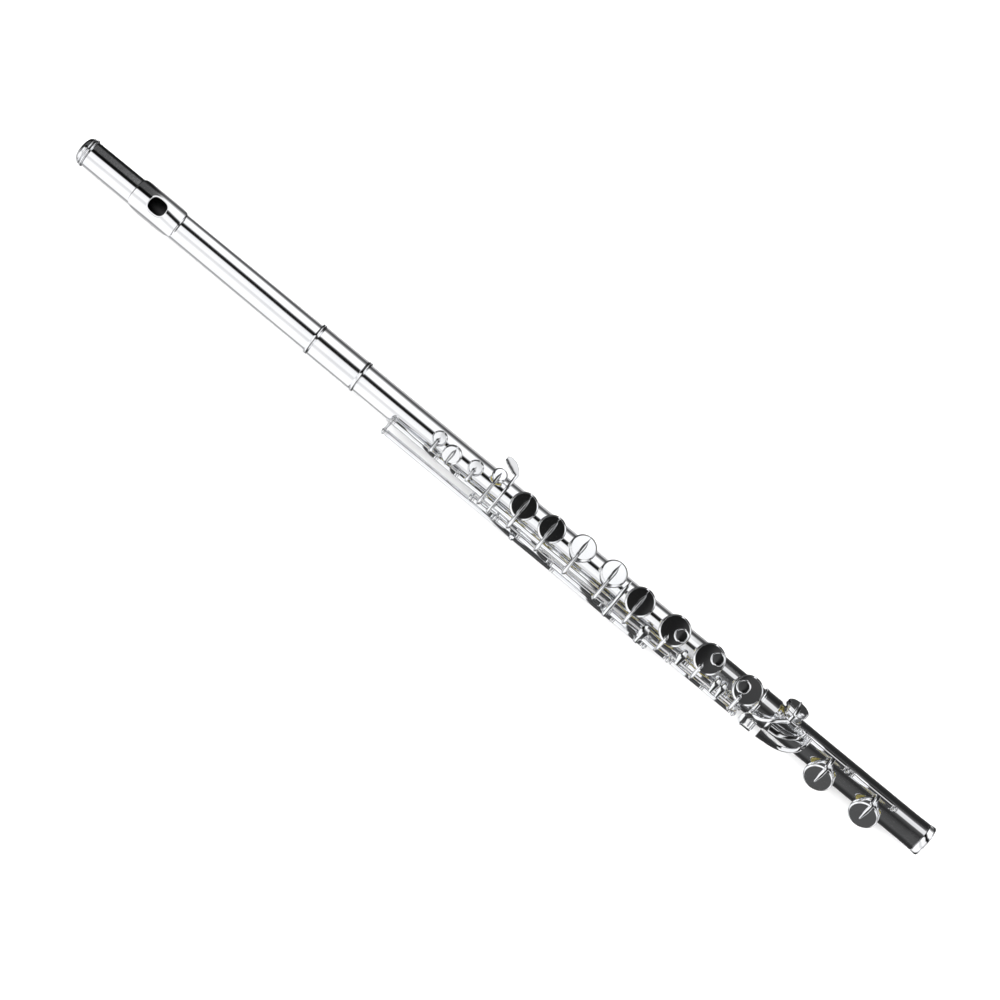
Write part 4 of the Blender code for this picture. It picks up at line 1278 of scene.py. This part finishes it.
# Brightness by the angle across the tube, from the camera towards the far side
LEFT_BANDS = (
    (-180, 0.5), (-150, 0.5), (-136, 0.18), (-122, 0.9),
    (-62, 1.0), (-47, 0.72), (-38, 0.7), (-26, 0.95),
    (4, 0.85), (8, 0.45), (11, 0.02), (24, 0.0),
    (34, 0.1), (39, 0.85), (50, 1.0), (86, 1.0),
    (98, 0.35), (108, 0.08), (130, 0.1), (142, 0.5),
    (180, 0.5),
)
RIGHT_BANDS = (
    (-180, 0.10), (-118, 0.02), (-98, 0.04), (-80, 0.075),
    (-38, 0.065), (-18, 0.045), (-4, 0.02), (8, 0.04),
    (19, 0.07), (26, 0.10), (31, 0.70), (58, 0.75),
    (64, 0.14), (72, 0.07), (88, 0.02), (120, 0.02),
    (180, 0.10),
)


def world():
    """Soft studio light: pale panels all round, a dark panel above the foot, and a gap between the
    near and the far panels that draws the dark line along the tube."""
    made = bpy.data.worlds.new("studio")
    made.use_nodes = True
    tree = made.node_tree
    tree.nodes.clear()
    place_node = tree.nodes.new("ShaderNodeTexCoord")
    split = tree.nodes.new("ShaderNodeSeparateXYZ")
    tree.links.new(place_node.outputs["Generated"], split.inputs[0])
    tilt = math.pi / 2 - VIEW_ELEVATION
    across = maths(tree, "ARCTAN2", split.outputs["Y"], split.outputs["Z"])
    across = maths(tree, "ADD", across, tilt)
    along = maths(tree, "MULTIPLY", maths(tree, "ARCSINE", split.outputs["X"]), 180 / math.pi)
    shift = ranged(tree, along, (-7.0, -2.0), (-12.0, 6.0))
    moved_across = maths(tree, "ADD", across, maths(tree, "RADIANS", shift))
    left = bands(tree, moved_across, LEFT_BANDS)
    right = bands(tree, across, RIGHT_BANDS)
    side = ranged(tree, along, FOOT_PANEL[:2], (0.0, 1.0), "SMOOTHSTEP")
    mix = tree.nodes.new("ShaderNodeMix")
    mix.data_type = "RGBA"
    beyond = ranged(tree, along, FOOT_PANEL[2:], (1.0, 0.0))
    factor = maths(tree, "MULTIPLY", side, beyond)
    tree.links.new(factor, mix.inputs["Factor"])
    tree.links.new(left, mix.inputs["A"])
    tree.links.new(right, mix.inputs["B"])
    far_end = ranged(tree, along, (-7.35, -7.65), (0.0, 1.0))
    far_side = ranged(tree, maths(tree, "DEGREES", moved_across), (14.0, 22.0), (0.0, 1.0))
    panel = maths(tree, "MULTIPLY", far_end, far_side)
    wall = ranged(tree, maths(tree, "ABSOLUTE", along), (56.0, 70.0), (0.0, 0.85))
    shade = maths(tree, "MAXIMUM", panel, wall)
    dimmed = maths(tree, "MULTIPLY_ADD", shade, DARKEST - STUDIO_LIGHT, STUDIO_LIGHT)
    background = tree.nodes.new("ShaderNodeBackground")
    tree.links.new(dimmed, background.inputs["Strength"])
    tree.links.new(mix.outputs["Result"], background.inputs["Color"])
    output = tree.nodes.new("ShaderNodeOutputWorld")
    tree.links.new(background.outputs[0], output.inputs["Surface"])
    SCENE.world = made


def lamps():
    """Large soft lamps overhead. They light the floor and the pads; the metal mirrors the panels."""
    for name, place_at, size, power in (
        ("lamp_left", (-1.2, -0.6, 2.4), 2.4, 55.0), ("lamp_right", (1.2, 0.8, 2.4), 2.4, 55.0),
        ("lamp_top", (0.0, 0.0, 3.2), 3.0, 60.0),
    ):
        data = bpy.data.lights.new(name, "AREA")
        data.shape = "DISK"
        data.size = size
        data.energy = power
        made = bpy.data.objects.new(name, data)
        made.location = place_at
        made.rotation_euler = (-Vector(place_at)).to_track_quat("-Z", "Y").to_euler()
        made.visible_glossy = False
        SCENE.collection.objects.link(made)


# ---------------------------------------------------------------- flute

head_tube()
lip_plate()
riser()
crown()
stopper()
barrel()
body_tube()
foot_tube()
ribs()
rods()
trill_keys()
c_key()
main_row()
lower_keys()
thumb_keys()
foot_keys()
roller()

camera()
floor()
world()
lamps()
SCENE.view_settings.view_transform = "Standard"
